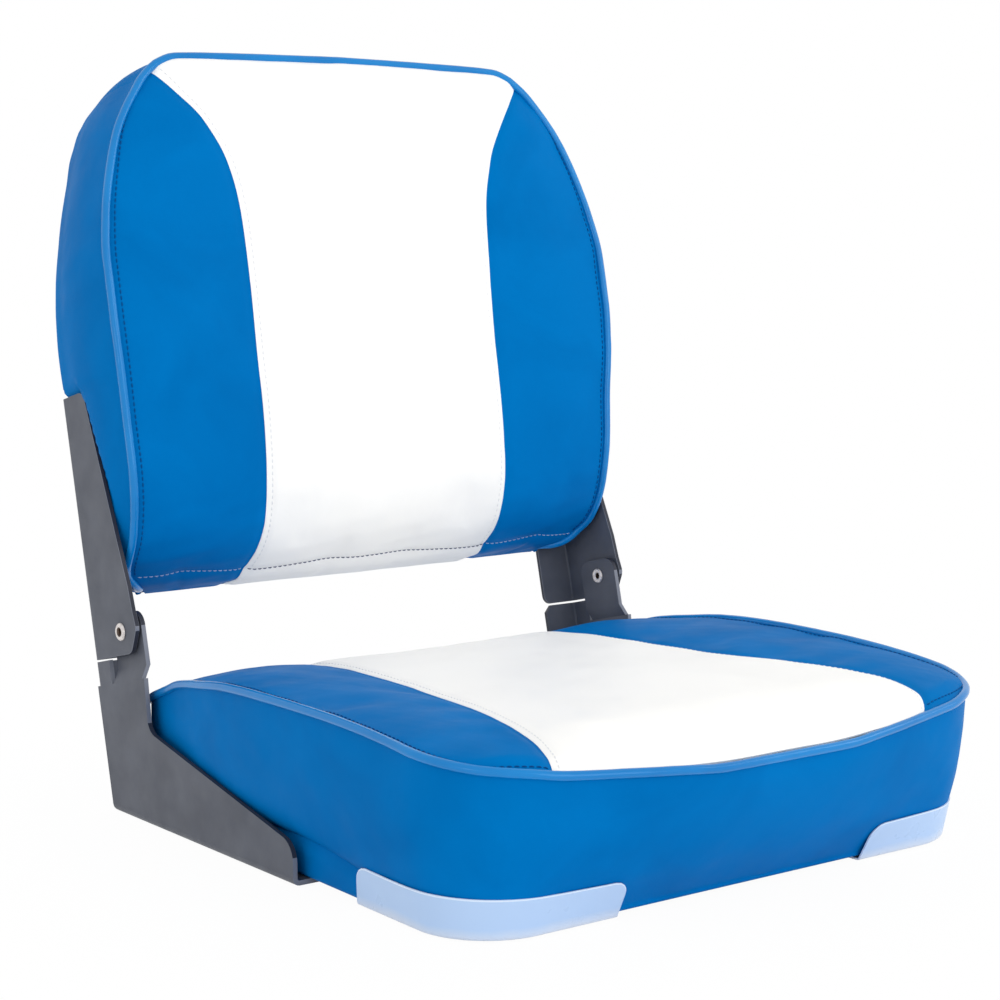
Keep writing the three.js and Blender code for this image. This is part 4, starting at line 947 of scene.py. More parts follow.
@dataclass
class Cushion:
    """A padded cushion with a three-part cover, a band round its side, piping and topstitching.

    Columns c run from -2 at the left piping through -1 and 1 at the seams to 2 at the right piping.
    Rows v run from 0 to 1. Subclasses give the shape.
    """

    finishes: Finishes
    name: str = "cushion"
    body: Body = Body.SEAT
    swell: Swell | None = None
    cover: float = 1.0
    thickness: float = 1.3
    piping_radius: float = 2.75
    stitch_pitch: float = 4.0
    thread: float = 0.75
    seam_inset: float = 4.0
    swell_cap: float = 2.0
    sink: float = 2.6
    padding_inset: float = 3.2
    bracket_inner: float = 199.4
    blank_rows: int = 41
    blank_columns: int = 57
    blank_levels: int = 6

    def point(self, v: Array, c: Array) -> Array:
        """Middle of the cover at rows v and columns c."""
        raise NotImplementedError

    def band_point(self, place: Array, level: Array) -> Array:
        """Outer face of the band at a place round the edge and a level from 0 at the piping to 1."""
        raise NotImplementedError

    def place(self, points: Array) -> Array:
        """Moves points from the cushion's frame into the row frame."""
        return points

    def relief(self, v: Array, c: Array, points: Array) -> Array:
        """Small valleys and creases of the cover, outwards."""
        raise NotImplementedError

    def free_width(self, y: Array, z: Array) -> Array:
        """How far the cover may reach past the inside of the brackets, where their plates end."""
        raise NotImplementedError

    def keep_clear(self, points: Array, margin: float = 0.0) -> Array:
        """Holds |x| clear of the brackets, by a further margin for what lies under the cover.

        Args:
            points: Points, shape (..., 3).
            margin: How far they lie under the cover's face.

        Returns:
            The held points.
        """
        x, y, z = np.moveaxis(points, -1, 0)
        limit = self.bracket_inner + self.free_width(y, z) - margin
        return np.stack([np.sign(x) * np.minimum(np.abs(x), limit), y, z], -1)

    def normal_at(self, v: Array, c: Array) -> Array:
        """Outward normals by central differences of the surface, read just inside its edge.

        Args:
            v: Rows.
            c: Columns.

        Returns:
            Unit normals.
        """
        step = 0.012
        row, column = np.clip(v, 2 * step, 1 - 2 * step), np.clip(c, -2 + 3 * step, 2 - 3 * step)
        across = self.point(row, column + step) - self.point(row, column - step)
        along = self.point(row + step, column) - self.point(row - step, column)
        return unit(np.cross(across, along))

    def valleys(self, v: Array, c: Array, points: Array, at_edge: Array | float = 1.0) -> Array:
        """Valleys along the seams, the edges and the topstitching.

        Args:
            v: Rows.
            c: Columns.
            points: The cover's points there.
            at_edge: Share of the valley that is left along the edges.

        Returns:
            Height outwards.
        """
        sign = np.where(c < 0, -1.0, 1.0)
        seam = np.linalg.norm(points - self.point(v, sign), axis=-1)
        edges = [self.point(0.0 * v, c), self.point(0.0 * v + 1.0, c), self.point(v, 2.0 * sign)]
        edge = np.min([np.linalg.norm(points - line, axis=-1) for line in edges], axis=0)
        height = -1.3 * bump_at(seam, 4.5) - 1.5 * bump_at(edge, 4.0) * at_edge
        return height - np.where(np.abs(c) < 1, 0.3, 0.0) * bump_at(seam - self.seam_inset, 1.4)

    def swollen(self, v: Array, c: Array) -> Array:
        """Movement of the top cover by the simulated filling, or a plain bulge where it wasn't run.

        Args:
            v: Rows.
            c: Columns.

        Returns:
            Movements, shape (..., 3).
        """
        reach = np.where(np.abs(c) > 1, np.abs(c) - 1.5, c / 2.0)
        share = np.clip(1.0 - 4.0 * reach**2, 0.0, 1.0) * np.clip(4.0 * v * (1.0 - v), 0.0, 1.0)
        normals, sunk = self.normal_at(v, c), np.sqrt(share) * self.sink
        if self.swell is not None:
            return self.swell.on_top(v, c) - normals * sunk[..., None]
        return normals * (share * self.swell_cap * 0.5 - sunk)[..., None]

    def cover_point(self, v: Array, c: Array, lift: float = 0.0) -> tuple[Array, Array]:
        """Outer face of the cover: the middle surface, plus the swelling, plus the relief outwards.

        Args:
            v: Rows, shape (rows, columns).
            c: Columns, same shape.
            lift: Extra distance outwards.

        Returns:
            Points and outward normals.
        """
        points = self.point(v, c)
        normals = self.normal_at(v, c)
        height = self.cover + lift + self.relief(v, c, points)
        return self.keep_clear(points + self.swollen(v, c) + normals * height[..., None]), normals

    def panel(self, name: str, v: Array, c: Array, lift: Callable[[Array], Array] | float) -> Draft:
        """Thin closed shell of the cover between columns.

        Args:
            name: Piece's name.
            v: Row values.
            c: Column values.
            lift: Extra distance outwards, or a function of the columns.

        Returns:
            The draft.
        """
        rows, columns = np.meshgrid(v, c, indexing="ij")
        raised = lift(columns) if callable(lift) else lift
        points = self.point(rows, columns)
        normals = grid_normals(points)
        height = (self.cover + raised + self.relief(rows, columns, points))[..., None]
        outer = points + self.swollen(rows, columns) + normals * height
        outer, inner = self.keep_clear(outer), self.keep_clear(outer - normals * self.thickness)
        return Draft(name).add(*shell(outer, inner))

    def rolled(self, c: Array) -> Array:
        """Lift of the middle panel over its seams, less right at the fold."""
        return 0.75 - 0.5 * bump_at(1.0 - np.abs(c), 0.006)

    def covers(
        self, v: Array, middle: Array, beside: Array, node: str, cuts: tuple[float, float, float]
    ) -> None:
        """Makes the white middle panel and the blue panel on each side of it.

        Args:
            v: Row values.
            middle: Column values of the middle panel.
            beside: Column values of the right panel, mirrored for the left one.
            node: What the names of the CAD nodes that they stand for start with.
            cuts: Width of the middle's cut, width of a side's and length of all, in millimetres.
        """
        looks, length = self.finishes, cuts[2]
        panels = [("middle", middle, self.rolled, Slot.WHITE_VINYL, looks.white, cuts[0])]
        for sign, side in SIDES:
            panels.append((side, np.sort(sign * beside), 0.0, Slot.BLUE_VINYL, looks.blue, cuts[1]))
        for name, columns, lift, slot, material, width in panels:
            sheet = self.panel(f"{self.name}_cover_{name}", v, columns, lift)
            piece = sheet.make(self.body, slot, material, self.place, replaces=[f"{node}_{name}"])
            self.as_sheet(piece, width, length)

    def as_sheet(self, piece: Piece, width: float, length: float) -> None:
        """Leaves a cover piece, vinyl stretched over the padding, as it is.

        Args:
            piece: Cover piece, whose mesh has both faces of the vinyl. Not used.
            width: Width of the cut in millimetres. Not used.
            length: Length of the cut. Not used.
        """

    def welt_frames(self, place: Array, closed: bool) -> tuple[Array, Array, Array]:
        """Centre line of the piping with its frame.

        Args:
            place: Places round the edge.
            closed: Whether the run closes on itself.

        Returns:
            Points, outward vectors and upward vectors.
        """
        v, c = perimeter(place)
        points = self.point(v, c)
        if closed:
            tangent = unit(np.roll(points, -1, 0) - np.roll(points, 1, 0))
        else:
            tangent = unit(np.gradient(points, axis=0))
        normal = self.normal_at(v, c)
        index = np.arange(len(place))
        near = [index + k for k in range(-6, 7)]
        near = [k % len(place) if closed else np.clip(k, 0, len(place) - 1) for k in near]
        normal = sum(normal[k] for k in near)
        normal = unit(normal - tangent * (normal * tangent).sum(-1, keepdims=True))
        return points, unit(np.cross(tangent, normal)), normal

    def piping(self, place: Array, closed: bool) -> Draft:
        """Round piping along the edge, a little uneven where the cord shows through.

        Args:
            place: Places round the edge.
            closed: Whether it closes on itself.

        Returns:
            The draft.
        """
        points, outward, up = self.welt_frames(place, closed)
        radii = self.piping_radius * (1.0 + 0.02 * ripples(points, 14.0, 5))
        if not closed:
            tuck = 1.0 - smooth_share((perimeter(place)[0] - 0.005) / 0.045)
            points = points - (up + 0.3 * outward) * (2.0 * tuck)[:, None]
            radii = radii * (1.0 - 0.3 * tuck)
        return Draft(f"{self.name}_piping").add(*tube(points, outward, up, radii, 16, closed))

    def stitches(
        self, name: str, line: tuple[Array, Array], lift: float, slot: Slot, thread: Material
    ) -> None:
        """Sews a row of stitches along a line on the cover.

        Args:
            name: Piece's name after the cushion's.
            line: Rows and columns of the line.
            lift: Height above the plain cover.
            slot: Record slot of the thread.
            thread: Its material.
        """
        path, normals = self.cover_point(*line, lift)
        row = stitch_row(path, normals, self.stitch_pitch, self.thread)
        Draft(f"{self.name}_{name}").add(*row).make(self.body, slot, thread, self.place)

    def side_stitches(self, rows: Array, width: Array, edge: tuple[Array, Array]) -> None:
        """Sews a white row beside each seam and a faint blue row beside the piping.

        Args:
            rows: Rows of the white line.
            width: Distance from the middle to the seam there.
            edge: Rows and columns of the blue line on the right side.
        """
        looks = self.finishes
        for sign, side in SIDES:
            line = (rows, sign * (1.0 - self.seam_inset / width))
            self.stitches(f"topstitch_{side}", line, 0.75, Slot.WHITE_VINYL, looks.white_thread)
            line = (edge[0], sign * edge[1])
            self.stitches(f"piping_stitch_{side}", line, 0.2, Slot.BLUE_WELT, looks.blue_thread)

    def blank(self) -> tuple[Array, Array, Array, Array]:
        """Closed blank of the padding: top, rings down the side and underside.

        Returns:
            Points, faces, whether each point is sewn down, and the indices of the rings.
        """
        rows, columns, levels = self.blank_rows, self.blank_columns, self.blank_levels
        v, c = np.meshgrid(np.linspace(0, 1, rows), np.linspace(-2, 2, columns), indexing="ij")
        top = self.blank_top(v, c)
        edge = rim(rows, columns)
        corner = np.cumsum([0, columns - 1, rows - 1, columns - 1, rows - 1])
        places = np.interp(np.arange(len(edge)), corner, [0.0, 1.0, 2.0, 3.0, 4.0])
        shares = np.linspace(0.0, 1.0, levels)[1:, None]
        rings = self.blank_rings(top.reshape(-1, 3)[edge], places, shares)
        last = np.concatenate([rings[-1], rings[-1, :1]])
        first, right, rear, left = (last[corner[k]: corner[k + 1] + 1] for k in range(4))
        under = coons(first, rear[::-1], left[::-1], right)
        count = rows * columns
        ring_index = count + np.arange((levels - 1) * len(edge)).reshape(levels - 1, len(edge))
        under_index = np.full((rows, columns), -1)
        under_index.reshape(-1)[edge] = ring_index[-1]
        inside = np.argwhere(under_index.reshape(-1) < 0)[:, 0]
        under_index.reshape(-1)[inside] = count + (levels - 1) * len(edge) + np.arange(len(inside))
        loops = np.concatenate([edge[None], ring_index])
        ahead = np.roll(loops, -1, 1)
        walls = np.stack([loops[1:], ahead[1:], ahead[:-1], loops[:-1]], -1)
        face = quads(rows, columns)
        faces = np.concatenate([face, walls.reshape(-1, 4), under_index.reshape(-1)[face[:, ::-1]]])
        points = np.concatenate([top.reshape(-1, 3), rings.reshape(-1, 3), under.reshape(-1, 3)[inside]])
        seam = np.isclose(np.abs(c), 1.0) | np.isclose(np.abs(c), 2.0)
        seam = seam | np.isclose(v, 0.0) | np.isclose(v, 1.0)
        free, held = np.zeros((levels - 2) * len(edge), bool), np.ones(len(edge) + len(inside), bool)
        sewn = np.concatenate([seam.reshape(-1), free, held])
        return points, faces, sewn, loops

    def blank_top(self, v: Array, c: Array) -> Array:
        """Top of the padding, just under the cover."""
        return self.point(v, c) - self.normal_at(v, c) * self.padding_inset

    def padding(self, blank: "ClothBlank | None") -> None:
        """Foam core under the covers.

        Args:
            blank: The simulated blank, or None for a plain one.
        """
        points, faces = self.blank()[:2]
        if blank is not None:
            points = points + blank.moved
        core = Draft(f"{self.name}_padding").add(self.keep_clear(points, self.padding_inset), faces)
        piece = core.make(
            self.body, Slot.FOAM, self.finishes.foam, self.place, replaces=[f"{self.name}_foam"]
        )

    def blank_rings(self, edge: Array, place: Array, share: Array) -> Array:
        """Rings of the padding from its top edge down its side.

        Args:
            edge: The top's edge points.
            place: Places round the edge.
            share: Shares of the way down, as a column.

        Returns:
            Rings, shape (levels, stations, 3).
        """
        raise NotImplementedError


@dataclass
class ClothBlank:
    """A cushion's blank as cloth that is blown up between its seams."""

    cushion: Cushion
    pressure: float = 3.0
    slack: float = 0.003
    stiffness: float = 12.0
    frames: int = 20

    def start(self) -> None:
        """Makes the blank's object with its cloth."""
        self.points, self.faces, sewn, self.loops = self.cushion.blank()
        mesh = bpy.data.meshes.new(f"{self.cushion.name}_blank")
        mesh.from_pydata((self.points * MM).tolist(), [], self.faces.tolist())
        self.piece = bpy.data.objects.new(mesh.name, mesh)
        bpy.context.scene.collection.objects.link(self.piece)
        group = self.piece.vertex_groups.new(name="sewn")
        group.add(np.flatnonzero(sewn).tolist(), 1.0, "REPLACE")
        cloth = self.piece.modifiers.new("cloth", "CLOTH")
        cloth.point_cache.frame_start, cloth.point_cache.frame_end = 1, self.frames
        settings = cloth.settings
        settings.vertex_group_mass = "sewn"
        settings.quality = 5
        settings.mass = 0.3
        settings.air_damping = 3.0
        settings.use_pressure = True
        settings.uniform_pressure_force = self.pressure
        settings.shrink_min = -self.slack
        settings.bending_stiffness = self.stiffness
        settings.effector_weights.gravity = 0.0

    def settle(self) -> None:
        """Reads the blown-up shape, caps how far it moved and hands it to the cushion.

        A movement m becomes m times cap / |m| times the hyperbolic tangent of |m| / cap.
        """
        evaluated = self.piece.evaluated_get(bpy.context.evaluated_depsgraph_get())
        flat = np.empty(len(self.points) * 3, np.float32)
        evaluated.data.vertices.foreach_get("co", flat)
        moved = flat.reshape(-1, 3).astype(float) / MM - self.points
        bpy.data.objects.remove(self.piece)
        size = np.linalg.norm(moved, axis=1, keepdims=True)
        LOG.info("%s cloth moved up to %.1f mm", self.cushion.name, float(size.max()))
        cap = self.cushion.swell_cap
        moved *= cap * np.tanh(size / cap) / np.maximum(size, 1e-6)
        rows, columns = self.cushion.blank_rows, self.cushion.blank_columns
        top = moved[: rows * columns].reshape(rows, columns, 3)
        self.cushion.swell = Swell(top, moved[self.loops])
        self.moved = moved


def run_cloth(blanks: Sequence[ClothBlank]) -> None:
    """Blows up every blank, frame by frame.

    Args:
        blanks: Blanks to run together.
    """
    scene = bpy.context.scene
    for blank in blanks:
        blank.start()
    for step in range(1, ClothBlank.frames + 1):
        scene.frame_set(step)
    for blank in blanks:
        blank.settle()
    scene.frame_set(1)


@dataclass
class SeatCushion(Cushion):
    """The seat: crowned, lower at its front and rear edges, on a moulded base board."""

    name: str = "seat"
    body: Body = Body.SEAT
    length: float = 410.0
    front: float = 244.0
    half_width: float = 206.0
    welt_height: float = 104.5
    bolster_bulge: float = 4.0
    crease_height: float = 22.5
    front_crease: float = 3.0
    hem_width: float = 26.0
    hem_bend: float = 2.6
    base_top: float = 14.0
    band_stations: int = 440
    rear_corner: tuple[float, float] = (190.0, 166.0)
    edge_ease: tuple[float, float] = (0.038, 0.05)
    free_side: float = 14.0
    outline: tuple[tuple[float, float, float], ...] = (
        (-72, -242.5, 400), (72, -242.5, 400), (204, -218, 72), (205.4, 20, 900), (189.5, 164.5, 30),
        (-189.5, 164.5, 30), (-205.4, 20, 900), (-204, -218, 72),
    )
    base_outline: tuple[tuple[float, float, float], ...] = (
        (196, -205, 45), (189, 164, 32), (-189, 164, 32), (-196, -205, 45),
    )
    welt_shares: Curve = Curve((
        (0, 0.785), (0.004, 0.79), (0.007, 0.804), (0.01, 0.814), (0.018, 0.829), (0.031, 0.847),
        (0.043, 0.866), (0.053, 0.879), (0.071, 0.889), (0.1, 0.898), (0.132, 0.912), (0.187, 0.937),
        (0.252, 0.964), (0.317, 0.982), (0.4, 0.994), (0.5, 0.997), (0.585, 0.993), (0.666, 0.978),
        (0.709, 0.96), (0.753, 0.935), (0.796, 0.911), (0.84, 0.876), (0.883, 0.816), (0.927, 0.755),
        (0.962, 0.7), (1, 0.655),
    ))
    seam_shares: Curve = Curve((
        (0, 0.8), (0.03, 0.86), (0.048, 0.89), (0.07, 0.918), (0.093, 0.935), (0.126, 0.957),
        (0.154, 0.969), (0.183, 0.975), (0.23, 0.981), (0.288, 0.981), (0.355, 0.975), (0.459, 0.962),
        (0.577, 0.955), (0.692, 0.945), (0.75, 0.93), (0.82, 0.9), (0.889, 0.825), (0.962, 0.74),
        (1, 0.655),
    ))
    middle_shares: Curve = Curve((
        (0, 0.785), (0.012, 0.82), (0.036, 0.885), (0.067, 0.93), (0.108, 0.965), (0.168, 0.986),
        (0.339, 0.989), (0.577, 0.968), (0.75, 0.942), (0.817, 0.905), (0.889, 0.82), (0.962, 0.74),
        (1, 0.655),
    ))
    seam_widths: Curve = Curve((
        (0, 0.725), (0.048, 0.718), (0.125, 0.684), (0.224, 0.636), (0.339, 0.583), (0.459, 0.539),
        (0.577, 0.513), (0.692, 0.495), (0.817, 0.476), (1, 0.461),
    ))
    front_lean: Curve = Curve((
        (0, 0), (0.165, 0.25), (0.29, 0.43), (0.445, 0.61), (0.585, 0.74), (0.806, 0.91), (0.9, 0.97),
        (1, 1),
    ))
    side_lean: Curve = Curve(((0, 0), (0.06, 0.2), (0.3, 0.62), (0.6, 0.92), (1, 1)))
    front_seams: tuple[float, float] = (-155.5, 119.0)
    bracket_nose: tuple[float, float] = (-44.0, 21.7)
    bracket_root: tuple[float, float] = (127.0, 58.0)

    def __post_init__(self) -> None:
        """Cuts the outlines of cushion and base into front, side and rear chains."""
        points, middles = rounded_outline(self.outline)
        base, base_middles = rounded_outline(self.base_outline)
        self.chains = {
            "front": chain_between(points, middles[7], middles[2]),
            "side": chain_between(points, middles[2], middles[4]),
            "rear": chain_between(points, middles[4], middles[5])[::-1],
        }
        self.base_chains = {
            "front": chain_between(base, base_middles[3], base_middles[0]),
            "side": chain_between(base, base_middles[0], base_middles[1]),
            "rear": chain_between(base, base_middles[1], base_middles[2])[::-1],
        }

    def depth(self, y: Array) -> Array:
        """Share of the seat's length behind its front edge."""
        return (y + self.front) / self.length

    def edge_x(self, chain: Array, c: Array) -> Array:
        """x of a column on the front or rear edge: in proportion to the seam, then on to the corner.

        Args:
            chain: Outline of that edge.
            c: Columns.

        Returns:
            x of each column.
        """
        seam = self.half_width * self.seam_widths(self.depth(chain[len(chain) // 2, 1]))
        reach, bolster = column_shares(c)
        return np.sign(c) * lerp(reach * seam, chain[-1, 0], bolster)

    def front_x(self, c: Array) -> Array:
        """x of a column on the front edge, where the seams run to their sewn places.

        Args:
            c: Columns.

        Returns:
            x of each column.
        """
        chain = self.chains["front"]
        plain = self.edge_x(chain, np.array([-1.0, 1.0]))
        drift = np.array(self.front_seams) - plain
        inside = lerp(drift[0], drift[1], (np.clip(c, -1.0, 1.0) + 1.0) / 2.0)
        return self.edge_x(chain, c) + inside * (1.0 - column_shares(c)[1])

    def plan(self, v: Array, c: Array) -> Array:
        """Plan of the cover.

        Straight blends between middle, seam and side outline, corrected towards the curved front edge
        by (1 - v) cubed and towards the curved rear edge by v cubed. The seams' drift along the front
        edge fades with (1 - v) to the 24th.

        Args:
            v: Rows.
            c: Columns.

        Returns:
            Points in the plane, shape (..., 2).
        """
        reach, bolster = column_shares(c)
        side = self.chains["side"]
        ends = [self.chains["front"], self.chains["rear"]]
        seam_y = [read_chain(chain, 0, self.edge_x(chain, np.array(1.0))) for chain in ends]

        def straight(share: Array) -> Array:
            """Blend before the correction.

            Args:
                share: Share of the way from front to rear.

            Returns:
                Points in the plane.
            """
            outer_y = lerp(side[0, 1], side[-1, 1], share)
            inner_y = lerp(seam_y[0], seam_y[1], share)
            middle_y = lerp(-self.front, self.length - self.front, share)
            inner_x = self.half_width * self.seam_widths(self.depth(inner_y)) * reach
            x = lerp(inner_x, read_chain(side, 1, outer_y), bolster) * np.sign(c)
            return np.stack([x, lerp(lerp(middle_y, inner_y, reach), outer_y, bolster)], -1)

        edges = [self.edge_x(chain, c) for chain in ends]
        edges = [np.stack([x, read_chain(chain, 0, x)], -1) for x, chain in zip(edges, ends)]
        zero = np.zeros(np.broadcast(v, c).shape)
        point = straight(v + zero)
        point = point + (edges[0] - straight(zero)) * ((1.0 - v) ** 3 + zero)[..., None]
        drifted = self.front_x(c)
        drifted = np.stack([drifted, read_chain(ends[0], 0, drifted)], -1)
        point = point + (drifted - edges[0]) * ((1.0 - v) ** 24 + zero)[..., None]
        return point + (edges[1] - straight(zero + 1.0)) * (v**3 + zero)[..., None]

    def point(self, v: Array, c: Array) -> Array:
        """Middle of the cover: heights blend from the middle to the seam and on to the piping.

        Args:
            v: Rows.
            c: Columns.

        Returns:
            Points, shape (..., 3).
        """
        plan = self.plan(v, c)
        reach, bolster = column_shares(c)
        share = self.depth(plan[..., 1])
        welt, seam, middle = self.welt_shares(share), self.seam_shares(share), self.middle_shares(share)
        inside = lerp(lerp(middle, seam, reach**2), welt, bolster) * self.welt_height
        inside = inside + self.bolster_bulge * np.sin(np.pi * bolster)
        ease = smooth_share(v / self.edge_ease[0]) * smooth_share((1.0 - v) / self.edge_ease[1])
        return np.concatenate([plan, lerp(welt * self.welt_height, inside, ease)[..., None]], -1)

    def hem_plan(self, place: Array) -> Array:
        """Base outline under each place round the edge.

        Args:
            place: Places round the edge.

        Returns:
            Points in the plane.
        """
        v, c = perimeter(place)
        side = self.base_chains["side"]
        y = lerp(side[0, 1], side[-1, 1], v)
        beside = np.stack([np.sign(c) * read_chain(side, 1, y), y], -1)
        parts = []
        for key in ("front", "rear"):
            top, bottom = self.chains[key], self.base_chains[key]
            x = (self.front_x(c) if key == "front" else self.edge_x(top, c)) / top[-1, 0] * bottom[-1, 0]
            parts.append(np.stack([x, read_chain(bottom, 0, x)], -1))
        number = (np.floor(place).astype(int) % 4)[..., None]
        return np.where(number % 2 == 1, beside, np.where(number == 0, parts[0], parts[1]))

    def crease_at(self, place: Array) -> Array:
        """Height where the band starts to lean out: it falls towards the front."""
        behind_front = smooth_share((self.plan(*perimeter(place))[..., 1] + 215.0) / 170.0)
        return lerp(self.front_crease, self.crease_height, behind_front)

    def band_point(self, place: Array, level: Array) -> Array:
        """Outer face of the band: plan blends from the base outline to the piping by the lean curves.

        Args:
            place: Places round the edge.
            level: Levels from 0 at the piping to 1.

        Returns:
            Points, shape (..., 3).
        """
        v, c = perimeter(place)
        welt = self.point(v, c)
        up = 1.0 - level
        beside = smooth_share((welt[..., 1] + 200.0) / 60.0)
        lean = lerp(self.front_lean(up), self.side_lean(up), beside)
        plan = lerp(self.hem_plan(place), welt[..., :2], lean[..., None])
        z = lerp(self.crease_at(place), welt[..., 2] - 1.4, up)
        return np.concatenate([plan, z[..., None]], -1)

    def free_width(self, y: Array, z: Array) -> Array:
        """Room above the lower bracket's top edge, a line from nose to root, and ahead of it.

        Args:
            y: Depths of points.
            z: Their heights.

        Returns:
            Millimetres past the inside of the brackets.
        """
        nose, root = self.bracket_nose, self.bracket_root
        edge = np.interp(y, [nose[0], root[0]], [nose[1], root[1]])
        above = smooth_share((z - edge - 0.5) / 7.0) * smooth_share((root[0] - y) / 14.0)
        ahead = smooth_share((nose[0] - 1.0 - y) / 10.0)
        return self.free_side * np.maximum(above, ahead)

    def relief(self, v: Array, c: Array, points: Array) -> Array:
        """Valleys at seams and piping, gathers at the rear corners and soft creases.

        Args:
            v: Rows.
            c: Columns.
            points: The cover's points there.

        Returns:
            Height outwards.
        """
        height = self.valleys(v, c, points)
        corner_x, corner_y = self.rear_corner
        corner = points[..., :2] - np.stack([np.sign(c) * corner_x, 0 * v + corner_y], -1)
        angle = np.arctan2(corner[..., 1], np.abs(corner[..., 0]))
        radius = np.linalg.norm(corner, axis=-1)
        height = height + 0.55 * np.cos(angle * 23.0) * bump_at(radius - 26.0, 20.0)
        rear = bump_at(v - 0.93, 0.06) * (np.abs(c) < 1)
        height = height + 0.35 * rear * ripples(points * np.array([1.0, 0.35, 0.35]), 9.0, 11)
        return height + 0.35 * ripples(points, 70.0, 3) + 0.14 * ripples(points, 24.0, 4)

    def blank_rings(self, edge: Array, place: Array, share: Array) -> Array:
        """Rings of the padding just inside the band, down to the base.

        Args:
            edge: The top's edge points.
            place: Places round the edge.
            share: Shares of the way down, as a column.

        Returns:
            Rings, shape (levels, stations, 3).
        """
        z = lerp(edge[None, :, 2], self.base_top + 0.6, share)
        top = self.band_point(place, 0.0 * place)[None, :, 2]
        level = np.clip((top - z) / (top - self.crease_at(place)), 0.0, 1.0)
        rings = self.band_point(place[None] + 0.0 * share, level)
        tangent = unit(np.roll(rings, -1, 1) - np.roll(rings, 1, 1))
        inward = np.stack([-tangent[..., 1], tangent[..., 0]], -1) * (self.padding_inset + 1.4)
        return np.concatenate([rings[..., :2] + inward, z[..., None]], -1)

    def band(self) -> Draft:
        """Side band with its turned-under hem, as one closed shell.

        Rows start at the hem's inner edge under the base, go out, turn up round the bottom edge and
        climb to the piping.

        Returns:
            The draft.
        """
        place = np.linspace(0.0, 4.0, self.band_stations, endpoint=False)
        hem = self.hem_plan(place)
        tangent = unit(np.roll(hem, -1, 0) - np.roll(hem, 1, 0))
        outward = np.stack([tangent[:, 1], -tangent[:, 0]], -1)
        bend = self.hem_bend
        angle = np.linspace(0.0, QUARTER, 6)
        inset = np.concatenate([np.linspace(self.hem_width, bend, 5)[:-1], bend - bend * np.sin(angle)])
        low = np.concatenate([np.zeros(4), bend - bend * np.cos(angle)])
        low = np.broadcast_to(low[:, None, None], (len(low), self.band_stations, 1))
        under = np.concatenate([hem[None] - outward[None] * inset[:, None, None], low], -1)
        rise = np.linspace(0.0, 1.0, 7)[1:-1, None, None]
        level = np.linspace(1.0, 0.0, 30)[:, None] + 0.0 * place
        side = self.band_point(place[None] + 0.0 * level, level)
        fold = self.crease_at(place)
        if self.swell is not None:
            top = side[-1:, :, 2]
            reach = (top - fold) / (top - np.minimum(self.base_top, fold))
            side = side + self.swell.on_band(place[None] + 0.0 * level, level * reach)
        foot = lerp(under[-1:], side[:1], rise)
        points = np.concatenate([under, foot, side])
        normals = grid_normals(points, wrap=True)
        height = 0.3 * ripples(points, 60.0, 8) + 0.12 * ripples(points, 20.0, 9)
        height = height * smooth_share(points[..., 2] / 20.0)
        beside = smooth_share((185.0 - np.abs(points[..., 1] - 20.0)) / 40.0)
        crease = -2.0 * beside * bump_at(points[..., 2] - fold + 1.0, 2.6)
        outer = self.keep_clear(points + normals * (height + crease)[..., None])
        inner = self.keep_clear(outer - normals * self.thickness)
        return Draft("seat_side_band").add(*shell(outer, inner, wrap=True))

    def build(self, blank: ClothBlank | None) -> None:
        """Makes every piece of the seat cushion.

        Args:
            blank: The simulated blank, or None for a plain one.
        """
        looks = self.finishes
        self.padding(blank)
        v = np.linspace(0.006, 0.994, 150)
        edges = np.array([0.0, 0.004, 0.012, 0.025])
        middle = np.concatenate([edges - 1.0, np.linspace(-0.96, 0.96, 110), 1.0 - edges[::-1]])
        self.covers(v, middle, np.linspace(0.97, 1.975, 70), "seat_top", (300.0, 130.0, 420.0))
        piece = self.band().make(self.body, Slot.BLUE_VINYL, looks.blue, replaces=["seat_boxing"])
        self.as_sheet(piece, 130.0, 1400.0)
        place = np.linspace(0.0, 4.0, 560, endpoint=False)
        self.piping(place, True).make(self.body, Slot.BLUE_WELT, looks.piping, replaces=["seat_welt"])
        rows, turn = np.linspace(0.012, 0.988, 300), np.linspace(1.04, 1.93, 90)
        round_rows = np.concatenate([0.0 * turn + 0.015, np.linspace(0.018, 0.97, 300)])
        round_columns = np.concatenate([turn, np.full(300, 1.93)])
        width = self.half_width * self.seam_widths(rows)
        self.side_stitches(rows, width, (round_rows, round_columns))


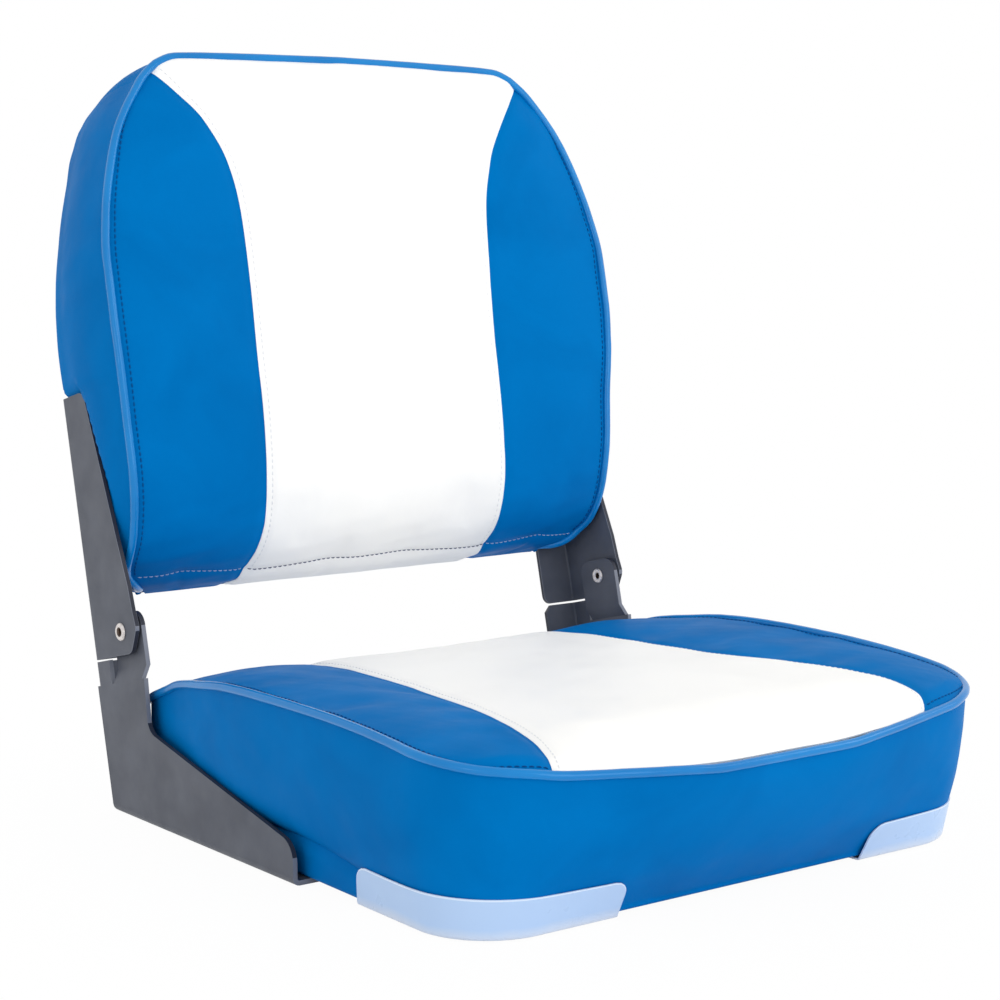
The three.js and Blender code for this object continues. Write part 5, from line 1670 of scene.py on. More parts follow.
@dataclass
class BackCushion(Cushion):
    """The backrest: a tall rounded cushion on a plywood board, leaned back on its brackets."""

    name: str = "back"
    body: Body = Body.BACK
    half_width: float = 203.0
    depth: float = 46.0
    top: float = 375.0
    bulge: float = 4.0
    side_bulge: float = 3.5
    board_rear: float = 37.2
    board_front: float = 27.2
    middle_height: float = 188.0
    free_side: float = 9.0
    rear_crown: float = 1.45
    rear_skin: float = 1.2
    above_bracket: float = 159.8
    bracket_edge: tuple[tuple[float, float], ...] = (
        (0.0, -20.5), (11.6, -18.2), (27.8, -16.5), (58.5, -9.9), (103.0, -0.85), (149.5, 10.6),
        (158.0, 16.0),
    )
    lean: float = math.radians(13.5)
    pivot: tuple[float, float] = (161.0, 117.5)
    profile: tuple[tuple[float, ...], ...] = (
        (0.504, 0.812, 0.0695, 0.807, 0.8, 0.0695, 0.812, 0.0695),
        (0.501, 0.478, 0.072, 0.885, 0.37, 0.078, 0.478, 0.072),
        (0.496, 0.13, 0.092, 0.932, 0.174, 0.097, 0.11, 0.091),
        (0.492, -0.196, 0.117, 0.953, -0.087, 0.119, -0.217, 0.115),
        (0.489, -0.5, 0.16, 0.957, -0.348, 0.155, -0.522, 0.156),
        (0.489, -0.674, 0.213, 0.961, -0.543, 0.203, -0.707, 0.208),
        (0.487, -0.772, 0.275, 0.968, -0.696, 0.267, -0.804, 0.272),
        (0.486, -0.859, 0.357, 0.978, -0.798, 0.351, -0.891, 0.352),
        (0.487, -0.913, 0.448, 0.992, -0.933, 0.448, -0.957, 0.448),
        (0.487, -0.957, 0.533, 0.999, -0.989, 0.533, -1.011, 0.533),
        (0.491, -1.015, 0.621, 0.999, -1.004, 0.621, -1.076, 0.621),
        (0.501, -1.087, 0.715, 0.979, -0.987, 0.704, -1.141, 0.715),
        (0.538, -1.137, 0.803, 0.939, -0.967, 0.787, -1.174, 0.805),
        (0.601, -1.13, 0.869, 0.895, -0.941, 0.851, -1.152, 0.888),
        (0.68, -1.022, 0.923, 0.851, -0.93, 0.893, -1.054, 0.952),
        (0.746, -0.891, 0.964, 0.812, -0.92, 0.923, -0.859, 0.999),
    )
    top_edge: Curve = Curve((
        (0, 0.999), (0.25, 0.997), (0.49, 0.994), (0.645, 0.99), (0.714, 0.977), (0.746, 0.964),
        (0.78, 0.946), (0.812, 0.923),
    ))
    rear_inset: Curve = Curve((
        (0, 0), (0.43, 0.002), (0.565, 0.016), (0.653, 0.036), (0.728, 0.043), (0.8, 0.044),
        (0.875, 0.024), (0.93, 0.004), (1, 0),
    ))
    rear_drop: Curve = Curve(((0, 0), (0.8, 0), (0.923, 0.012), (1, 0.012)))

    def place(self, points: Array) -> Array:
        """Leans points back about the pivot and puts them in the row frame.

        Args:
            points: Points in the backrest's frame.

        Returns:
            Points in the row frame.
        """
        x, y, z = np.moveaxis(points, -1, 0)
        cosine, sine = math.cos(self.lean), math.sin(self.lean)
        back, up = y * cosine + z * sine, z * cosine - y * sine
        return np.stack([x, back + self.pivot[0], up + self.pivot[1]], -1)

    def inward(self, points: Array) -> Array:
        """Directions, square to the depth, towards the middle of the backrest."""
        middle = np.array([0.0, 0.0, self.middle_height])
        return unit((middle - points) * np.array([1.0, 0.0, 1.0]))

    def point(self, v: Array, c: Array) -> Array:
        """Middle of the cover, from the profile table read smoothly along the rows.

        Each row of the table gives seam, side piping and middle as shares of half width, depth and
        height. Between middle and seam the blend goes with the square of the column. Between seam and
        piping it is straight with a bulge of sine shape.

        Args:
            v: Rows.
            c: Columns.

        Returns:
            Points, shape (..., 3).
        """
        table = np.array(self.profile)
        last = len(table) - 1
        v, c = np.broadcast_arrays(np.asarray(v, float), np.asarray(c, float))
        reach, bolster = column_shares(c)

        def raw(row: Array) -> tuple[Array, Array, Array]:
            """Shares of width, depth and height at table rows, before the top edge is fitted.

            Args:
                row: Fractional rows of the table.

            Returns:
                The three shares.
            """
            seam_x, seam_y, seam_z, welt_x, welt_y, welt_z, mid_y, mid_z = np.moveaxis(
                hermite(np.arange(last + 1.0), table, row), -1, 0
            )
            y = lerp(lerp(mid_y, seam_y, reach**2), welt_y, bolster)
            z = lerp(lerp(mid_z, seam_z, reach**2), welt_z, bolster)
            return lerp(reach * seam_x, welt_x, bolster), y, z

        row = v * last
        x, y, z = raw(row)
        top_x, _, top_z = raw(0.0 * row + last)
        z = z + (self.top_edge(top_x) - top_z) * smooth_share((row - last + 2.0) / 2.0) ** 1.5
        swelling = smooth_share(row / 4.0) * smooth_share((last - row) / 2.0)
        y = y - self.bulge / self.depth * np.sin(np.pi * bolster) * swelling
        return np.stack([np.sign(c) * x * self.half_width, y * self.depth, z * self.top], -1)

    def rear_point(self, welt: Array) -> Array:
        """Rear edge of the band behind each point of the piping.

        Args:
            welt: Points of the piping.

        Returns:
            Points of the rear edge.
        """
        x, _, z = np.moveaxis(welt, -1, 0)
        share = z / self.top
        above = smooth_share((z - self.above_bracket) / 3.5)
        limit = lerp(self.bracket_inner - 0.2, self.half_width + 2.0, above)
        wide = np.minimum(np.abs(x) + 2.0, limit)
        outer = np.minimum(1.0, np.abs(x) / (self.half_width / 2))
        half = np.maximum(0.0, wide - self.rear_inset(share) * self.half_width * outer)
        drop = self.rear_drop(share) * self.top
        return np.stack([np.sign(x) * half, 0 * x + self.board_rear, z - drop], -1)

    def band_point(self, place: Array, level: Array) -> Array:
        """Outer face of the band: a blend from piping to rear edge with a bulge of sine shape.

        Args:
            place: Places round the edge.
            level: Levels from 0 at the piping to 1.

        Returns:
            Points, shape (..., 3).
        """
        welt = self.point(*perimeter(place))
        rear = self.rear_point(welt)
        high = np.maximum(welt[..., 2] - self.middle_height, 0) / self.middle_height
        plan = unit(np.stack([welt[..., 0] / self.half_width, high], -1))
        bulge = self.side_bulge * np.sin(np.pi * level)
        blend = lerp(welt + np.array([0.0, 1.4, 0.0]), rear, level[..., None])
        return blend + np.stack([plan[..., 0] * bulge, 0 * bulge, plan[..., 1] * bulge], -1)

    def free_width(self, y: Array, z: Array) -> Array:
        """Room ahead of the upper bracket's front edge, read from its table, and above it.

        Args:
            y: Depths of points.
            z: Their heights.

        Returns:
            Millimetres past the inside of the brackets.
        """
        table = np.array(self.bracket_edge)
        ahead = smooth_share((np.interp(z, table[:, 0], table[:, 1]) - 0.5 - y) / 7.0)
        above = smooth_share((z - self.above_bracket) / 7.0)
        return self.free_side * np.maximum(ahead, above)

    def relief(self, v: Array, c: Array, points: Array) -> Array:
        """Valleys at seams and piping, and creases low on the back.

        Args:
            v: Rows.
            c: Columns.
            points: The cover's points there.

        Returns:
            Height outwards.
        """
        height = self.valleys(v, c, points, smooth_share(v / 0.05))
        low = smooth_share(v / 0.1) * smooth_share((0.42 - v) / 0.2)
        height = height + 0.3 * low * ripples(points * np.array([0.4, 1.0, 1.0]), 13.0, 12)
        hem = -0.7 * bump_at(v - 0.12, 0.012) * smooth_share((1.8 - np.abs(c)) / 0.3)
        return height + hem + 0.4 * ripples(points, 80.0, 6) + 0.14 * ripples(points, 26.0, 7)

    def blank_top(self, v: Array, c: Array) -> Array:
        """Top of the padding, with its lowest row drawn forward of the board.

        Args:
            v: Rows.
            c: Columns.

        Returns:
            Points, shape (..., 3).
        """
        points = self.point(v, c) - self.normal_at(v, c) * self.padding_inset
        first, second = points[0], points[3]
        share = (24.0 - first[:, 1:2]) / (second[:, 1:2] - first[:, 1:2])
        points[0] = lerp(first, second, share)
        points[1], points[2] = lerp(points[0], points[3], 1 / 3), lerp(points[0], points[3], 2 / 3)
        return points

    def blank_rings(self, edge: Array, place: Array, share: Array) -> Array:
        """Rings of the padding just inside the band, back to the board.

        Args:
            edge: The top's edge points.
            place: Places round the edge.
            share: Shares of the way down, as a column.

        Returns:
            Rings, shape (levels, stations, 3).
        """
        y = lerp(edge[None, :, 1], self.board_front - 0.5, share)
        front = self.band_point(place, 0.0 * place)[None, :, 1]
        level = np.clip((y - front) / np.maximum(self.board_rear - front, 1.0), 0.0, 1.0)
        rings = self.band_point(place[None] + 0.0 * share, level)
        rings = rings + self.inward(rings) * (self.padding_inset + 1.4)
        low = (np.floor(place).astype(int) % 4 == 0)[None, :, None]
        rings = np.where(low, edge[None] + 0.0 * rings, rings)
        rings[..., 1] = y
        return rings

    def band(self) -> Draft:
        """Side band up one side, over the top and down the other, as one closed shell.

        Returns:
            The draft.
        """
        place = np.linspace(1.0, 4.0, 420)
        level = np.linspace(1.0, 0.0, 32)[:, None] + 0.0 * place
        spots = place[None] + 0.0 * level
        side = self.band_point(np.clip(spots, 1.0, 3.9999), level)
        if self.swell is not None:
            front = side[-1:, :, 1]
            reach = (self.board_rear - front) / (self.board_front - front)
            side = side + self.swell.on_band(np.clip(spots, 1.0, 3.9999), np.minimum(1.0, level * reach))
        tuck = side[:1] + self.inward(side[:1]) * 5.0
        tuck[..., 1] = self.board_rear + 0.8
        side[0, :, 1] = self.board_rear
        points = np.concatenate([tuck, side])
        normals = grid_normals(points)
        height = 0.3 * ripples(points, 60.0, 18) + 0.12 * ripples(points, 20.0, 19)
        height = height * smooth_share((self.board_rear - points[..., 1]) / 10.0)
        outer = self.keep_clear(points + normals * height[..., None])
        inner = self.keep_clear(outer - normals * self.thickness)
        return Draft("back_side_band").add(*shell(outer, inner))

    def rear_panel(self) -> Draft:
        """Rear cover: a surface filled between the band's rear edge and the bottom, gently crowned.

        Returns:
            The draft.
        """
        count = 90
        side = self.band_point(np.linspace(1.0, 1.9999, count), np.ones(count))
        over = self.band_point(np.linspace(2.0, 2.9999, count), np.ones(count))
        left = self.band_point(np.linspace(3.9999, 3.0, count), np.ones(count))
        low = lerp(left[0], side[0], np.linspace(0.0, 1.0, count)[:, None])
        grid = coons(low, over[::-1], left, side)
        share_x = np.linspace(-1.0, 1.0, count)[None, :] + 0.0 * grid[..., 0]
        share_z = np.linspace(-1.0, 1.0, count)[:, None] + 0.0 * grid[..., 0]
        edge = np.minimum(1.0 - np.abs(share_x), 1.0 - np.abs(share_z))
        grid[..., 1] = self.board_rear + 0.25 + self.rear_crown * smooth_share(edge / 0.02)
        grid[..., 1] += np.where(np.abs(grid[..., 0]) < 168.0, 0.25 * ripples(grid, 60.0, 21), 0.0)
        outer = grid
        inner = grid - np.array([0.0, self.rear_skin, 0.0])
        inner[..., 1] = np.minimum(inner[..., 1], self.board_rear + 0.45)
        outer[..., 1] = np.maximum(outer[..., 1], inner[..., 1] + 0.2)
        return Draft("back_rear_panel").add(*shell(outer[:, ::-1], inner[:, ::-1]))

    def build(self, blank: ClothBlank | None) -> None:
        """Makes every piece of the backrest cushion.

        Args:
            blank: The simulated blank, or None for a plain one.
        """
        looks = self.finishes
        self.padding(blank)
        v = np.concatenate([np.linspace(0.002, 0.16, 36), np.linspace(0.165, 0.993, 130)])
        edges = np.array([0.0, 0.005, 0.014, 0.028])
        middle = np.concatenate([edges - 1.0, np.linspace(-0.955, 0.955, 100), 1.0 - edges[::-1]])
        self.covers(v, middle, np.linspace(0.965, 1.98, 70), "back_front", (300.0, 120.0, 430.0))
        for sheet, node, width, length in (
            (self.band(), "back_boxing", 90.0, 1150.0),
            (self.rear_panel(), "back_rear_cover", 410.0, 360.0),
        ):
            piece = sheet.make(self.body, Slot.BLUE_VINYL, looks.blue, self.place, replaces=[node])
            self.as_sheet(piece, width, length)
        place = np.linspace(1.0, 3.9999, 480)
        self.piping(place, False).make(
            self.body, Slot.BLUE_WELT, looks.piping, self.place, replaces=["back_welt"]
        )
        rows, beside = np.linspace(0.13, 0.985, 300), np.linspace(0.13, 0.96, 300)
        width = np.linalg.norm(self.point(rows, 0 * rows + 1.0) - self.point(rows, 0 * rows), axis=-1)
        self.side_stitches(rows, width, (beside, np.full(300, 1.94)))
        for side, start, end, lift, thread in (
            ("left", -1.93, -1.02, 0.15, looks.hem_thread),
            ("middle", -0.98, 0.98, 0.95, looks.dark_thread),
            ("right", 1.02, 1.93, 0.15, looks.hem_thread),
        ):
            across = np.linspace(start, end, 200)
            line = (0.12 + 0.001 * np.sin(across * 9.0), across)
            self.stitches(f"hem_stitch_{side}", line, lift, Slot.BLUE_WELT, thread)


# ---- Hardware ----


@dataclass
class CornerGuards:
    """Milky corner guards clipped round the seat's front bottom corners."""

    seat: SeatCushion
    height: float = 22.0
    wall: float = 1.1
    gap: float = 0.9
    lip: float = 16.0
    below: float = 2.1
    side_end: float = 100.0
    front_end: float = 95.0
    corner: float = 9.0
    bend_radius: float = 2.4

    def path(self) -> tuple[Array, Array]:
        """Base outline from the guard's front end round the corner to its side end.

        Returns:
            Points in the plane and outward normals.
        """
        chains = self.seat.base_chains
        whole = np.concatenate([chains["front"], chains["side"][1:]])
        keep = (whole[:, 0] > self.front_end) & (whole[:, 1] < -self.side_end)
        start = [[self.front_end, read_chain(chains["front"], 0, np.array(self.front_end))]]
        end = [[read_chain(chains["side"], 1, np.array(-self.side_end)), -self.side_end]]
        line = np.concatenate([start, whole[keep], end])
        total, near_end = arc_lengths(line)[-1], np.array([0.0, 0.4, 1.3, 3.0, 5.5])
        along = np.linspace(self.corner, total - self.corner, 90)
        spots = np.concatenate([near_end, along, total - near_end[::-1]])
        points, = resample(line, spots)
        tangent = unit(np.gradient(points, axis=0))
        return points, np.stack([tangent[:, 1], -tangent[:, 0]], -1)

    def push(self, points: Array) -> Array:
        """How far the band behind each point of the path leans out at the guard's height.

        Args:
            points: Points of the path in the plane.

        Returns:
            Vectors in the plane.
        """
        place = np.linspace(0.55, 1.9, 1800)
        hem, top = self.seat.hem_plan(place), self.seat.band_point(place, 0.0 * place)[:, 2]
        fold = self.seat.crease_at(place)
        level = np.clip(1.0 - (self.height - fold) / (top - fold), 0.0, 1.0)
        lean = self.seat.band_point(place, level)[:, :2] - hem
        near = np.linalg.norm(hem[None] - points[:, None], axis=-1).argmin(1)
        return lean[near]

    def build(self) -> None:
        """Sweeps the guard's angle section along its path and mirrors it."""
        points, outward = self.path()
        push = self.push(points)
        run = arc_lengths(points)
        from_end = np.minimum(run, run[-1] - run)
        rounding = np.maximum(0.0, self.corner - from_end)
        top = self.height - self.corner + np.sqrt(np.maximum(0.0, self.corner**2 - rounding**2))
        gap, out, low, high = self.gap, self.gap + self.wall, -self.below, -self.below + self.wall
        radius = self.bend_radius
        shares = np.append(np.linspace(0.12, 0.88, 8), [0.955, 1.0])
        sections = [(-self.lip, low, 0.0)]
        for a in np.linspace(0.0, QUARTER, 5):
            side, height = radius * math.sin(a), radius * math.cos(a)
            sections.append((out - radius + side, low + radius - height, 0.0))
        tip = len(sections) - 1 + len(shares)
        sections += [(out, 0.0, share) for share in shares]
        sections += [(gap + 0.3, 0.12, 1.0), (gap, 0.0, 0.99)]
        sections += [(gap, 0.0, share) for share in shares[:-1][::-1]]
        sections += [(gap, high + 0.8, 0.0), (gap - 0.8, high, 0.0), (-self.lip, high, 0.0)]
        table = np.array(sections)
        level = table[None, :, 1] + table[None, :, 2] * top[:, None]
        wave = 0.25 * np.sin(run / 17.0)[:, None] * table[None, :, 2]
        reach = table[None, :, 0] + wave
        plan = points[:, None] + outward[:, None] * reach[..., None]
        plan = plan + push[:, None] * (np.maximum(level, 0.0) / self.height)[..., None]
        grid = np.concatenate([plan, level[..., None]], -1)
        count = len(sections)
        for sign, side in SIDES:
            placed = grid * np.array([sign, 1.0, 1.0])
            faces = [quads(len(points), count, wrap_columns=True), *self.end_caps(count, len(points))]
            draft = Draft(f"guard_{side}").add(placed.reshape(-1, 3), faces)
            piece = draft.make(
                Body.SEAT, Slot.GUARD_PLASTIC, self.seat.finishes.guard, sharp=50.0,
                replaces=[f"corner_guard_{side}"],
            )
            # The rim faces along the top edge and at the ends take slot 1, a painted highlight.
            piece.data.materials.append(self.seat.finishes.guard_edge_highlight)
            column = np.arange(len(piece.data.polygons)) % count
            swept = np.arange(len(piece.data.polygons)) < (len(points) - 1) * count
            # Mask of the rim faces that take the painted highlight.
            edge = ~swept | (np.abs(column - tip) < 2)
            piece.data.polygons.foreach_set("material_index", edge.astype(np.int32))

    def end_caps(self, count: int, stations: int) -> list[Array]:
        """Strips of faces that close both ends of the thin section, pairing its two sides.

        Args:
            count: Number of points in the section.
            stations: Number of stations along the path.

        Returns:
            Face arrays of both caps.
        """
        ring, half = np.arange(count), count // 2
        near, far = ring[:half], ring[::-1][:half]
        strip = np.stack([near[:-1], near[1:], far[1:], far[:-1]], -1)
        caps = [strip, strip[:, ::-1] + (stations - 1) * count]
        if count % 2:
            tip = np.array([[near[-1], ring[half], far[-1]]])
            caps += [tip, tip[:, ::-1] + (stations - 1) * count]
        return caps


@dataclass
class Hardware:
    """Brackets, rivets, screws, staples and the plain CAD pieces of the seat."""

    finishes: Finishes
    back: BackCushion
    seat: SeatCushion
    bracket_face: float = 203.0
    inner_face: float = 195.2
    edge_limit: float = 3.3
    rivet_bore: float = 2.2
    rivet_head: float = 5.8
    rivet_shank: float = 3.2
    rivet_steps: int = 48
    screw_head: float = 4.2
    screw_length: float = 11.0
    screw_steps: int = 64
    staple_pitch: float = 24.0
    staple_inset: float = 15.0
    staple_half: float = 5.2

    def bracket(self, node: str, body: Body) -> None:
        """Rounds the edges of a bracket: a merged copy of its node with a bevel.

        The thin faces along the sheet's edge are those whose mean width is under the limit and that
        have sharp borders. They get a dark grey painted shade, except those that face the front,
        which get a pale grey painted highlight, as do the bevel's faces.

        Args:
            node: CAD node.
            body: Body that it moves with.
        """
        mesh = bpy.data.meshes.new(f"{node}_steel")
        work = bmesh.new()
        work.from_mesh(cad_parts[node].data)
        bmesh.ops.remove_doubles(work, verts=work.verts, dist=2e-6)
        bmesh.ops.dissolve_limit(work, angle_limit=math.radians(2.0), verts=work.verts, edges=work.edges)
        bmesh.ops.recalc_face_normals(work, faces=work.faces)
        for face in work.faces:
            around = face.calc_perimeter()
            sharp = sum(edge.calc_length() for edge in face.edges if edge.calc_face_angle(0.0) > 1.0)
            if 2.0 * face.calc_area() < self.edge_limit * MM * around and sharp > 0.15 * around:
                # Thin edge faces take the painted shade (slot 2); those facing the front take the
                # painted highlight (slot 1).
                face.material_index = 2 if face.normal.y > -0.97 else 1
        work.to_mesh(mesh)
        work.free()
        mesh.shade_smooth()
        mesh.set_sharp_from_angle(angle=math.radians(28.0))
        for material in (self.finishes.paint, self.finishes.edge_highlight_paint, self.finishes.edge_shade_paint):
            mesh.materials.append(material)
        piece = adopt(bpy.data.objects.new(mesh.name, mesh), body, [node])
        bevel = piece.modifiers.new("rounded_edges", "BEVEL")
        bevel.width = 0.5 * MM
        bevel.segments = 2
        # The bevel's faces take slot 1, the painted highlight along the edges.
        bevel.material = 1
        bevel.limit_method = "ANGLE"
        bevel.angle_limit = math.radians(35.0)
        bevel.harden_normals = True

    def rivet(self, side: str, sign: float) -> None:
        """Tubular rivet turned about the pivot, with a rolled head outside and a rolled end inside.

        The head's rim is a quarter circle from its face to the bracket, and its bore opens in a
        rounded lip. A small plug closes the bore, and what lies inside it gets a dark brown painted
        shade.

        Args:
            side: Name of the side.
            sign: -1 for left and 1 for right.
        """
        face, bore, head, inner = self.bracket_face, self.rivet_bore, self.rivet_head, self.inner_face
        turn = np.linspace(0.0, QUARTER, 7)
        rim = np.stack([head - 1.5 + 1.5 * np.cos(turn), face + 0.25 + 1.55 * np.sin(turn)], -1)
        lip = np.stack([bore + 1.9 - 1.9 * np.sin(turn), face + 0.2 + 1.6 * np.cos(turn)], -1)
        roll = np.stack([bore + 2.0 - 2.0 * np.cos(turn), inner - 0.2 - 1.1 * np.sin(turn)], -1)
        back_rim = np.stack([4.2 + 1.2 * np.sin(turn), inner - 1.3 * np.cos(turn)], -1)
        shank = np.array([[self.rivet_shank, inner + 0.05], [self.rivet_shank, face + 0.2]])
        low, high, wide = face - 4.0, face - 2.8, bore + 0.05
        plug = np.array([[0.15, low], [wide, low], [wide, high], [0.15, high]])
        draft = Draft(f"rivet_{side}")
        for profile in (np.concatenate([rim, lip, roll, back_rim, shank]), plug):
            points, faces = lathe(profile, self.rivet_steps)
            turned = np.stack([points[:, 2] * sign, points[:, 0], points[:, 1]], -1)
            draft.add(turned + np.array([0.0, *self.back.pivot]), faces)
        piece = draft.make(
            Body.SEAT, Slot.BRIGHT_STEEL, self.finishes.rivet, replaces=[f"pivot_rivet_{side}"]
        )
        piece.data.materials.append(self.finishes.hollow_shade)
        centres = np.array([face.center for face in piece.data.polygons]) / MM
        off_axis = np.hypot(centres[:, 1] - self.back.pivot[0], centres[:, 2] - self.back.pivot[1])
        # Faces inside the bore take slot 1, the painted shade of the hollow.
        inside = (off_axis < bore + 0.9) & (np.abs(centres[:, 0]) > self.bracket_face - 5.0)
        piece.data.polygons.foreach_set("material_index", inside.astype(np.int32))

    def screw(self, name: str, node: str, body: Body) -> None:
        """Countersunk screw turned about its axis, with a cross pressed into its head.

        The head is a polar grid whose height falls by the recess depth inside the cross. The cross is
        where one of the two coordinates is under its half width and the other under its half length,
        with eased walls.

        Args:
            name: Piece's name.
            node: CAD node that it stands for.
            body: Body that it moves with.
        """
        low, high = (np.array(corner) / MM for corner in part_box(node))
        radius, steps = self.screw_head, self.screw_steps
        rings = np.concatenate([np.linspace(0.05, radius, 22), [radius, 2.1, 2.1, 0.4]])
        drop = np.concatenate([np.zeros(21), [0.12, 0.35, 2.2, 9.4, self.screw_length]])
        angle = turn_steps(steps)
        x, y = rings[:, None] * np.cos(angle), rings[:, None] * np.sin(angle)

        def arm(a: Array, b: Array) -> Array:
            """One arm of the cross, 1 inside and 0 outside."""
            return smooth_share((0.65 - np.abs(a)) / 0.25) * smooth_share((2.35 - np.abs(b)) / 0.3)

        cross = np.maximum(arm(x, y), arm(y, x)) * (np.arange(len(rings)) < 20)[:, None]
        depth = drop[:, None] + cross * (1.5 - 0.35 * np.hypot(x, y) / 2.0)
        grid = np.stack([x, y, depth], -1)
        ring = np.arange(steps)
        faces = [quads(len(rings), steps, wrap_columns=True), ring[None, ::-1]]
        faces.append(((len(rings) - 1) * steps + ring)[None])
        middle = (low + high) / 2.0
        points = grid.reshape(-1, 3)
        if body is Body.SEAT:
            points = points + np.array([middle[0], middle[1], low[2]])
        else:
            cosine, sine = math.cos(self.back.lean), math.sin(self.back.lean)
            axis = np.array([0.0, -cosine, sine])
            turned = points @ np.array([[1.0, 0.0, 0.0], [0.0, sine, cosine], axis])
            points = middle - axis * self.screw_length / 2.0 + turned
        Draft(name).add(points, faces).make(
            body, Slot.BRIGHT_STEEL, self.finishes.steel, sharp=35.0, replaces=[node]
        )

    def staples(self) -> None:
        """Staples that hold the hem under the base, each a flat-topped wire along the edge."""
        place = np.linspace(0.0, 4.0, 1200, endpoint=False)
        hem = self.seat.hem_plan(place)
        line = np.concatenate([hem, 0 * hem[:, :1]], -1)
        spots = np.arange(self.staple_pitch / 2.0, arc_lengths(line)[-1] - 8.0, self.staple_pitch)
        tangent = np.gradient(line, axis=0)
        centre, along = resample(line, spots, tangent)
        along = unit(along)
        outward = np.stack([along[:, 1], -along[:, 0], 0 * along[:, 0]], -1)
        centre = centre - outward * self.staple_inset
        behind_bracket = (np.abs(centre[:, 0]) > 165.0) & (centre[:, 1] > -60.0)
        in_guard = (np.abs(centre[:, 0]) > 80.0) & (centre[:, 1] < -90.0)
        keep = ~(behind_bracket | in_guard)
        centre, along, outward = centre[keep], along[keep], outward[keep]
        t = np.linspace(-1.0, 1.0, 9)
        wire = np.stack([self.staple_half * t, -0.35 + 1.3 * np.maximum(np.abs(t) - 0.8, 0) / 0.2], -1)
        angle = turn_steps(6)
        width, tall = 0.55 * np.cos(angle), 0.3 * np.sin(angle)
        parts = (
            centre[:, None, None] + along[:, None, None] * wire[None, :, None, :1]
            + outward[:, None, None] * width[None, None, :, None]
        )
        parts[..., 2] += wire[None, :, None, 1] + tall[None, None, :]
        rows, sides = len(t), len(angle)
        start = (np.arange(len(centre)) * rows * sides)[:, None, None]
        face = (quads(rows, sides, wrap_columns=True)[None] + start).reshape(-1, 4)
        ring = np.arange(sides)[None, None, :]
        ends = (ring[..., ::-1], ring + (rows - 1) * sides)
        caps = [(end + start).reshape(-1, sides) for end in ends]
        Draft("hem_staples").add(parts.reshape(-1, 3), [face, *caps]).make(
            Body.SEAT, Slot.BRIGHT_STEEL, self.finishes.steel
        )

    def build(self) -> None:
        """Makes the hardware and dresses the CAD pieces that stay."""
        for sign, side in SIDES:
            self.bracket(f"upper_bracket_{side}", Body.BACK)
            self.bracket(f"lower_bracket_{side}", Body.SEAT)
            self.rivet(side, sign)
            for number in (1, 2, 3):
                self.screw(f"foot_screw_{side}_{number}", f"base_screw_{side}_{number}", Body.SEAT)
                self.screw(f"flange_screw_{side}_{number}", f"back_screw_{side}_{number}", Body.BACK)
        self.staples()
        looks = self.finishes
        dressed = {"seat_base": looks.base, "back_board": looks.board}
        for _, side in SIDES:
            dressed[f"pivot_washer_{side}"] = looks.nylon
            for end in ("front", "rear"):
                dressed[f"threaded_insert_{end}_{side}"] = looks.steel
        for node, material in dressed.items():
            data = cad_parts[node].data
            data.materials.clear()
            data.materials.append(material)
            LOG.info("%s: dressed CAD node", node)


# ---- Studio ----


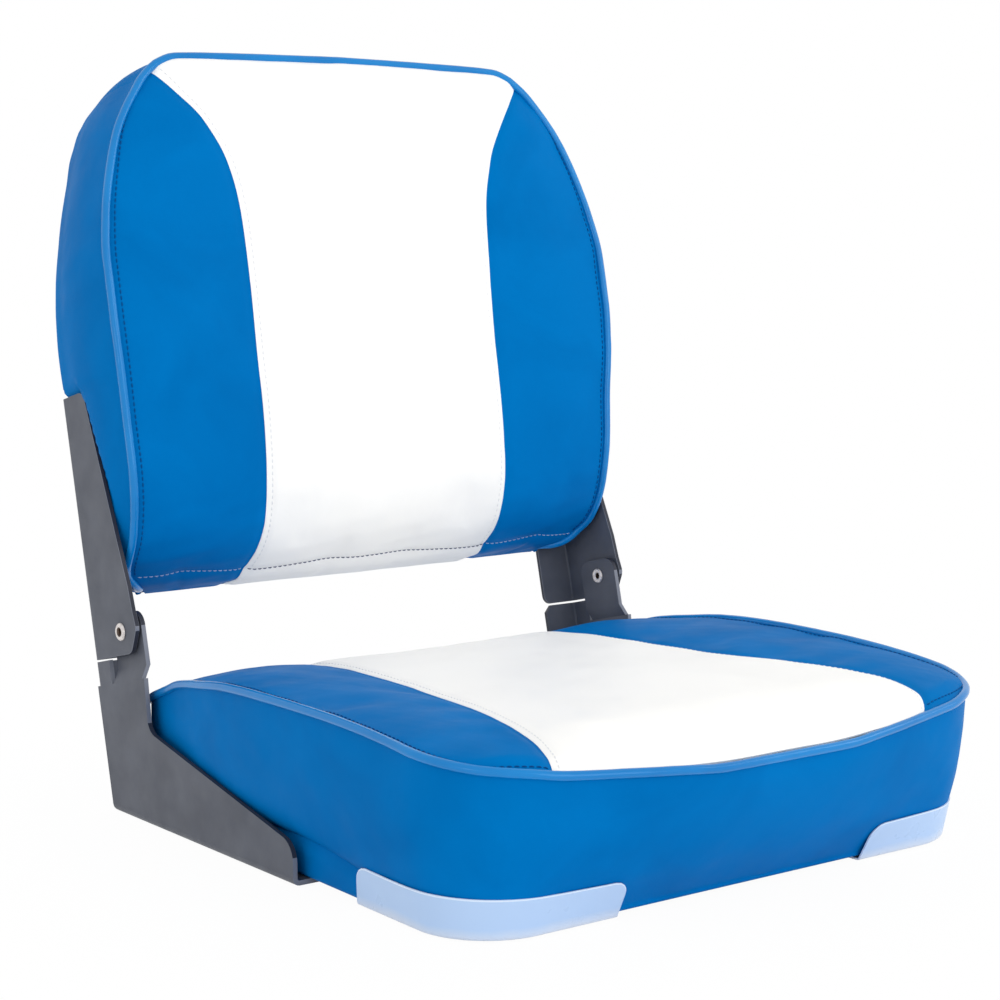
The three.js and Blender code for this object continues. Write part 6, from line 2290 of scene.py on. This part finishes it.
@dataclass
class Studio:
    """Camera, white floor, soft lamps and white surroundings."""

    eye: tuple[float, float, float] = (-887.04, -1140.91, 373.88)
    yaw: float = 0.6503
    pitch: float = 0.1173
    lens: float = 82.26
    lamps: tuple[tuple, ...] = (
        ("key_lamp", (0.2, -2.4, 0.8), (0.0, 0.0, 0.2), 1.4, 12.0),
        ("fill_lamp", (1.8, -1.2, 1.2), (0.0, 0.0, 0.2), 0.8, 5.0),
        ("edge_lamp", (-2.2, -0.9, 0.5), (0.0, 0.0, 0.25), 0.3, 2.0),
    )
    floor: float = -3.35
    sky: float = 0.95
    floor_sides: int = 96
    floor_radii: tuple[float, ...] = (0.4, 1.0, 2.5, 8.0, 30.0)

    def hang(
        self, name: str, data: bpy.types.ID, axes: Sequence[Array], place: Array
    ) -> Piece:
        """Hangs a camera or a lamp in the scene.

        Args:
            name: Its name.
            data: Camera or lamp.
            axes: Unit vectors to the right of it, above it and behind it.
            place: Where it hangs, in metres.

        Returns:
            The object.
        """
        turn = np.eye(4)
        turn[:3, :3], turn[:3, 3] = np.stack(axes, -1), place
        piece = bpy.data.objects.new(name, data)
        piece.matrix_world = Matrix(turn.tolist())
        bpy.context.scene.collection.objects.link(piece)
        return piece

    def camera(self) -> None:
        """Puts the camera where the photograph was taken from, looking along yaw and pitch."""
        data = bpy.data.cameras.new("camera")
        data.lens, data.sensor_width, data.sensor_height = self.lens, 36.0, 36.0
        data.clip_start, data.clip_end = 0.05, 60.0
        ahead = np.array([
            math.sin(self.yaw) * math.cos(self.pitch), math.cos(self.yaw) * math.cos(self.pitch),
            -math.sin(self.pitch),
        ])
        right = np.array([math.cos(self.yaw), -math.sin(self.yaw), 0.0])
        axes = (right, np.cross(right, ahead), -ahead)
        bpy.context.scene.camera = self.hang("camera", data, axes, np.array(self.eye) * MM)

    def backdrop(self) -> None:
        """Lays a white floor that fades into the white surroundings away from the seat."""
        mesh = bpy.data.meshes.new("studio_floor")
        angle = turn_steps(self.floor_sides)
        ring = np.stack([np.cos(angle), np.sin(angle), 0 * angle], -1)
        points = np.concatenate([ring * radius for radius in self.floor_radii])
        faces = quads(len(self.floor_radii), self.floor_sides, wrap_columns=True)[:, ::-1].tolist()
        faces.append(list(range(self.floor_sides)))
        mesh.from_pydata((points + np.array([0.0, 0.0, self.floor * MM])).tolist(), [], faces)
        floor = bpy.data.objects.new("studio_floor", mesh)
        shader = Shader("white_floor", Roughness=0.9, Base_Color=linear(248, 248, 248))
        away = shader.add("ShaderNodeVectorMath", {0: shader.place}, operation="LENGTH").outputs["Value"]
        inputs = {"Value": away, "From Min": 0.15, "From Max": 0.5, "To Min": 0.96, "To Max": 1.0}
        fade = shader.add("ShaderNodeMapRange", inputs, interpolation_type="SMOOTHSTEP")
        path = shader.add("ShaderNodeLightPath").outputs
        seen = shader.combine("MAXIMUM", path["Is Camera Ray"], path["Is Glossy Ray"])
        seen = shader.combine("MAXIMUM", seen, path["Is Transmission Ray"])
        share = shader.combine("MULTIPLY", fade.outputs["Result"], seen)
        glow = shader.add("ShaderNodeEmission", {"Color": (1.0, 1.0, 1.0, 1.0), "Strength": 1.0})
        inputs = {0: share, 1: shader.surface.outputs[0], 2: glow.outputs[0]}
        mix = shader.add("ShaderNodeMixShader", inputs)
        shader.tree.links.new(mix.outputs[0], shader.tree.nodes["Material Output"].inputs["Surface"])
        mesh.materials.append(shader.material)
        bpy.context.scene.collection.objects.link(floor)

    def surroundings(self) -> None:
        """White world at a plain level that the camera sees as full white."""
        world = bpy.data.worlds.new("white_surroundings")
        world.use_nodes = True
        tree = world.node_tree
        background = tree.nodes["Background"]
        background.inputs["Color"].default_value = (1.0, 1.0, 1.0, 1.0)
        path = tree.nodes.new("ShaderNodeLightPath")
        strength = tree.nodes.new("ShaderNodeMapRange")
        strength.inputs["To Min"].default_value, strength.inputs["To Max"].default_value = self.sky, 1.0
        seen = tree.nodes.new("ShaderNodeMath")
        seen.operation = "MAXIMUM"
        tree.links.new(path.outputs["Is Camera Ray"], seen.inputs[0])
        tree.links.new(path.outputs["Is Transmission Ray"], seen.inputs[1])
        tree.links.new(seen.outputs[0], strength.inputs["Value"])
        tree.links.new(strength.outputs["Result"], background.inputs["Strength"])
        bpy.context.scene.world = world

    def lamp(
        self, name: str, place: Sequence[float], target: Sequence[float], size: float, power: float
    ) -> None:
        """Soft square lamp.

        Args:
            name: Lamp's name.
            place: Where it hangs, in metres.
            target: What it points at, in metres.
            size: Width in metres.
            power: Power in watts.
        """
        data = bpy.data.lights.new(name, "AREA")
        data.shape, data.size, data.energy = "SQUARE", size, power
        away = unit(np.array(place) - np.array(target))
        side = unit(np.cross([0.0, 0.0, 1.0], away))
        self.hang(name, data, (side, np.cross(away, side), away), place)

    def build(self) -> None:
        """Sets up the studio."""
        bpy.context.scene.view_settings.view_transform = "Standard"
        self.camera()
        self.backdrop()
        self.surroundings()
        for lamp in self.lamps:
            self.lamp(*lamp)


def main() -> None:
    """Builds the studio and every piece of the seat in order."""
    logging.basicConfig(level=logging.INFO, format="%(message)s")
    Studio().build()
    finishes = Finishes()
    seat, back = SeatCushion(finishes), BackCushion(finishes)
    blanks: list[ClothBlank | None] = [None, None]
    blanks = [ClothBlank(seat), ClothBlank(back)]
    run_cloth(blanks)
    seat.build(blanks[0])
    back.build(blanks[1])
    CornerGuards(seat).build()
    Hardware(finishes, back, seat).build()


if __name__ == "__main__":
    main()
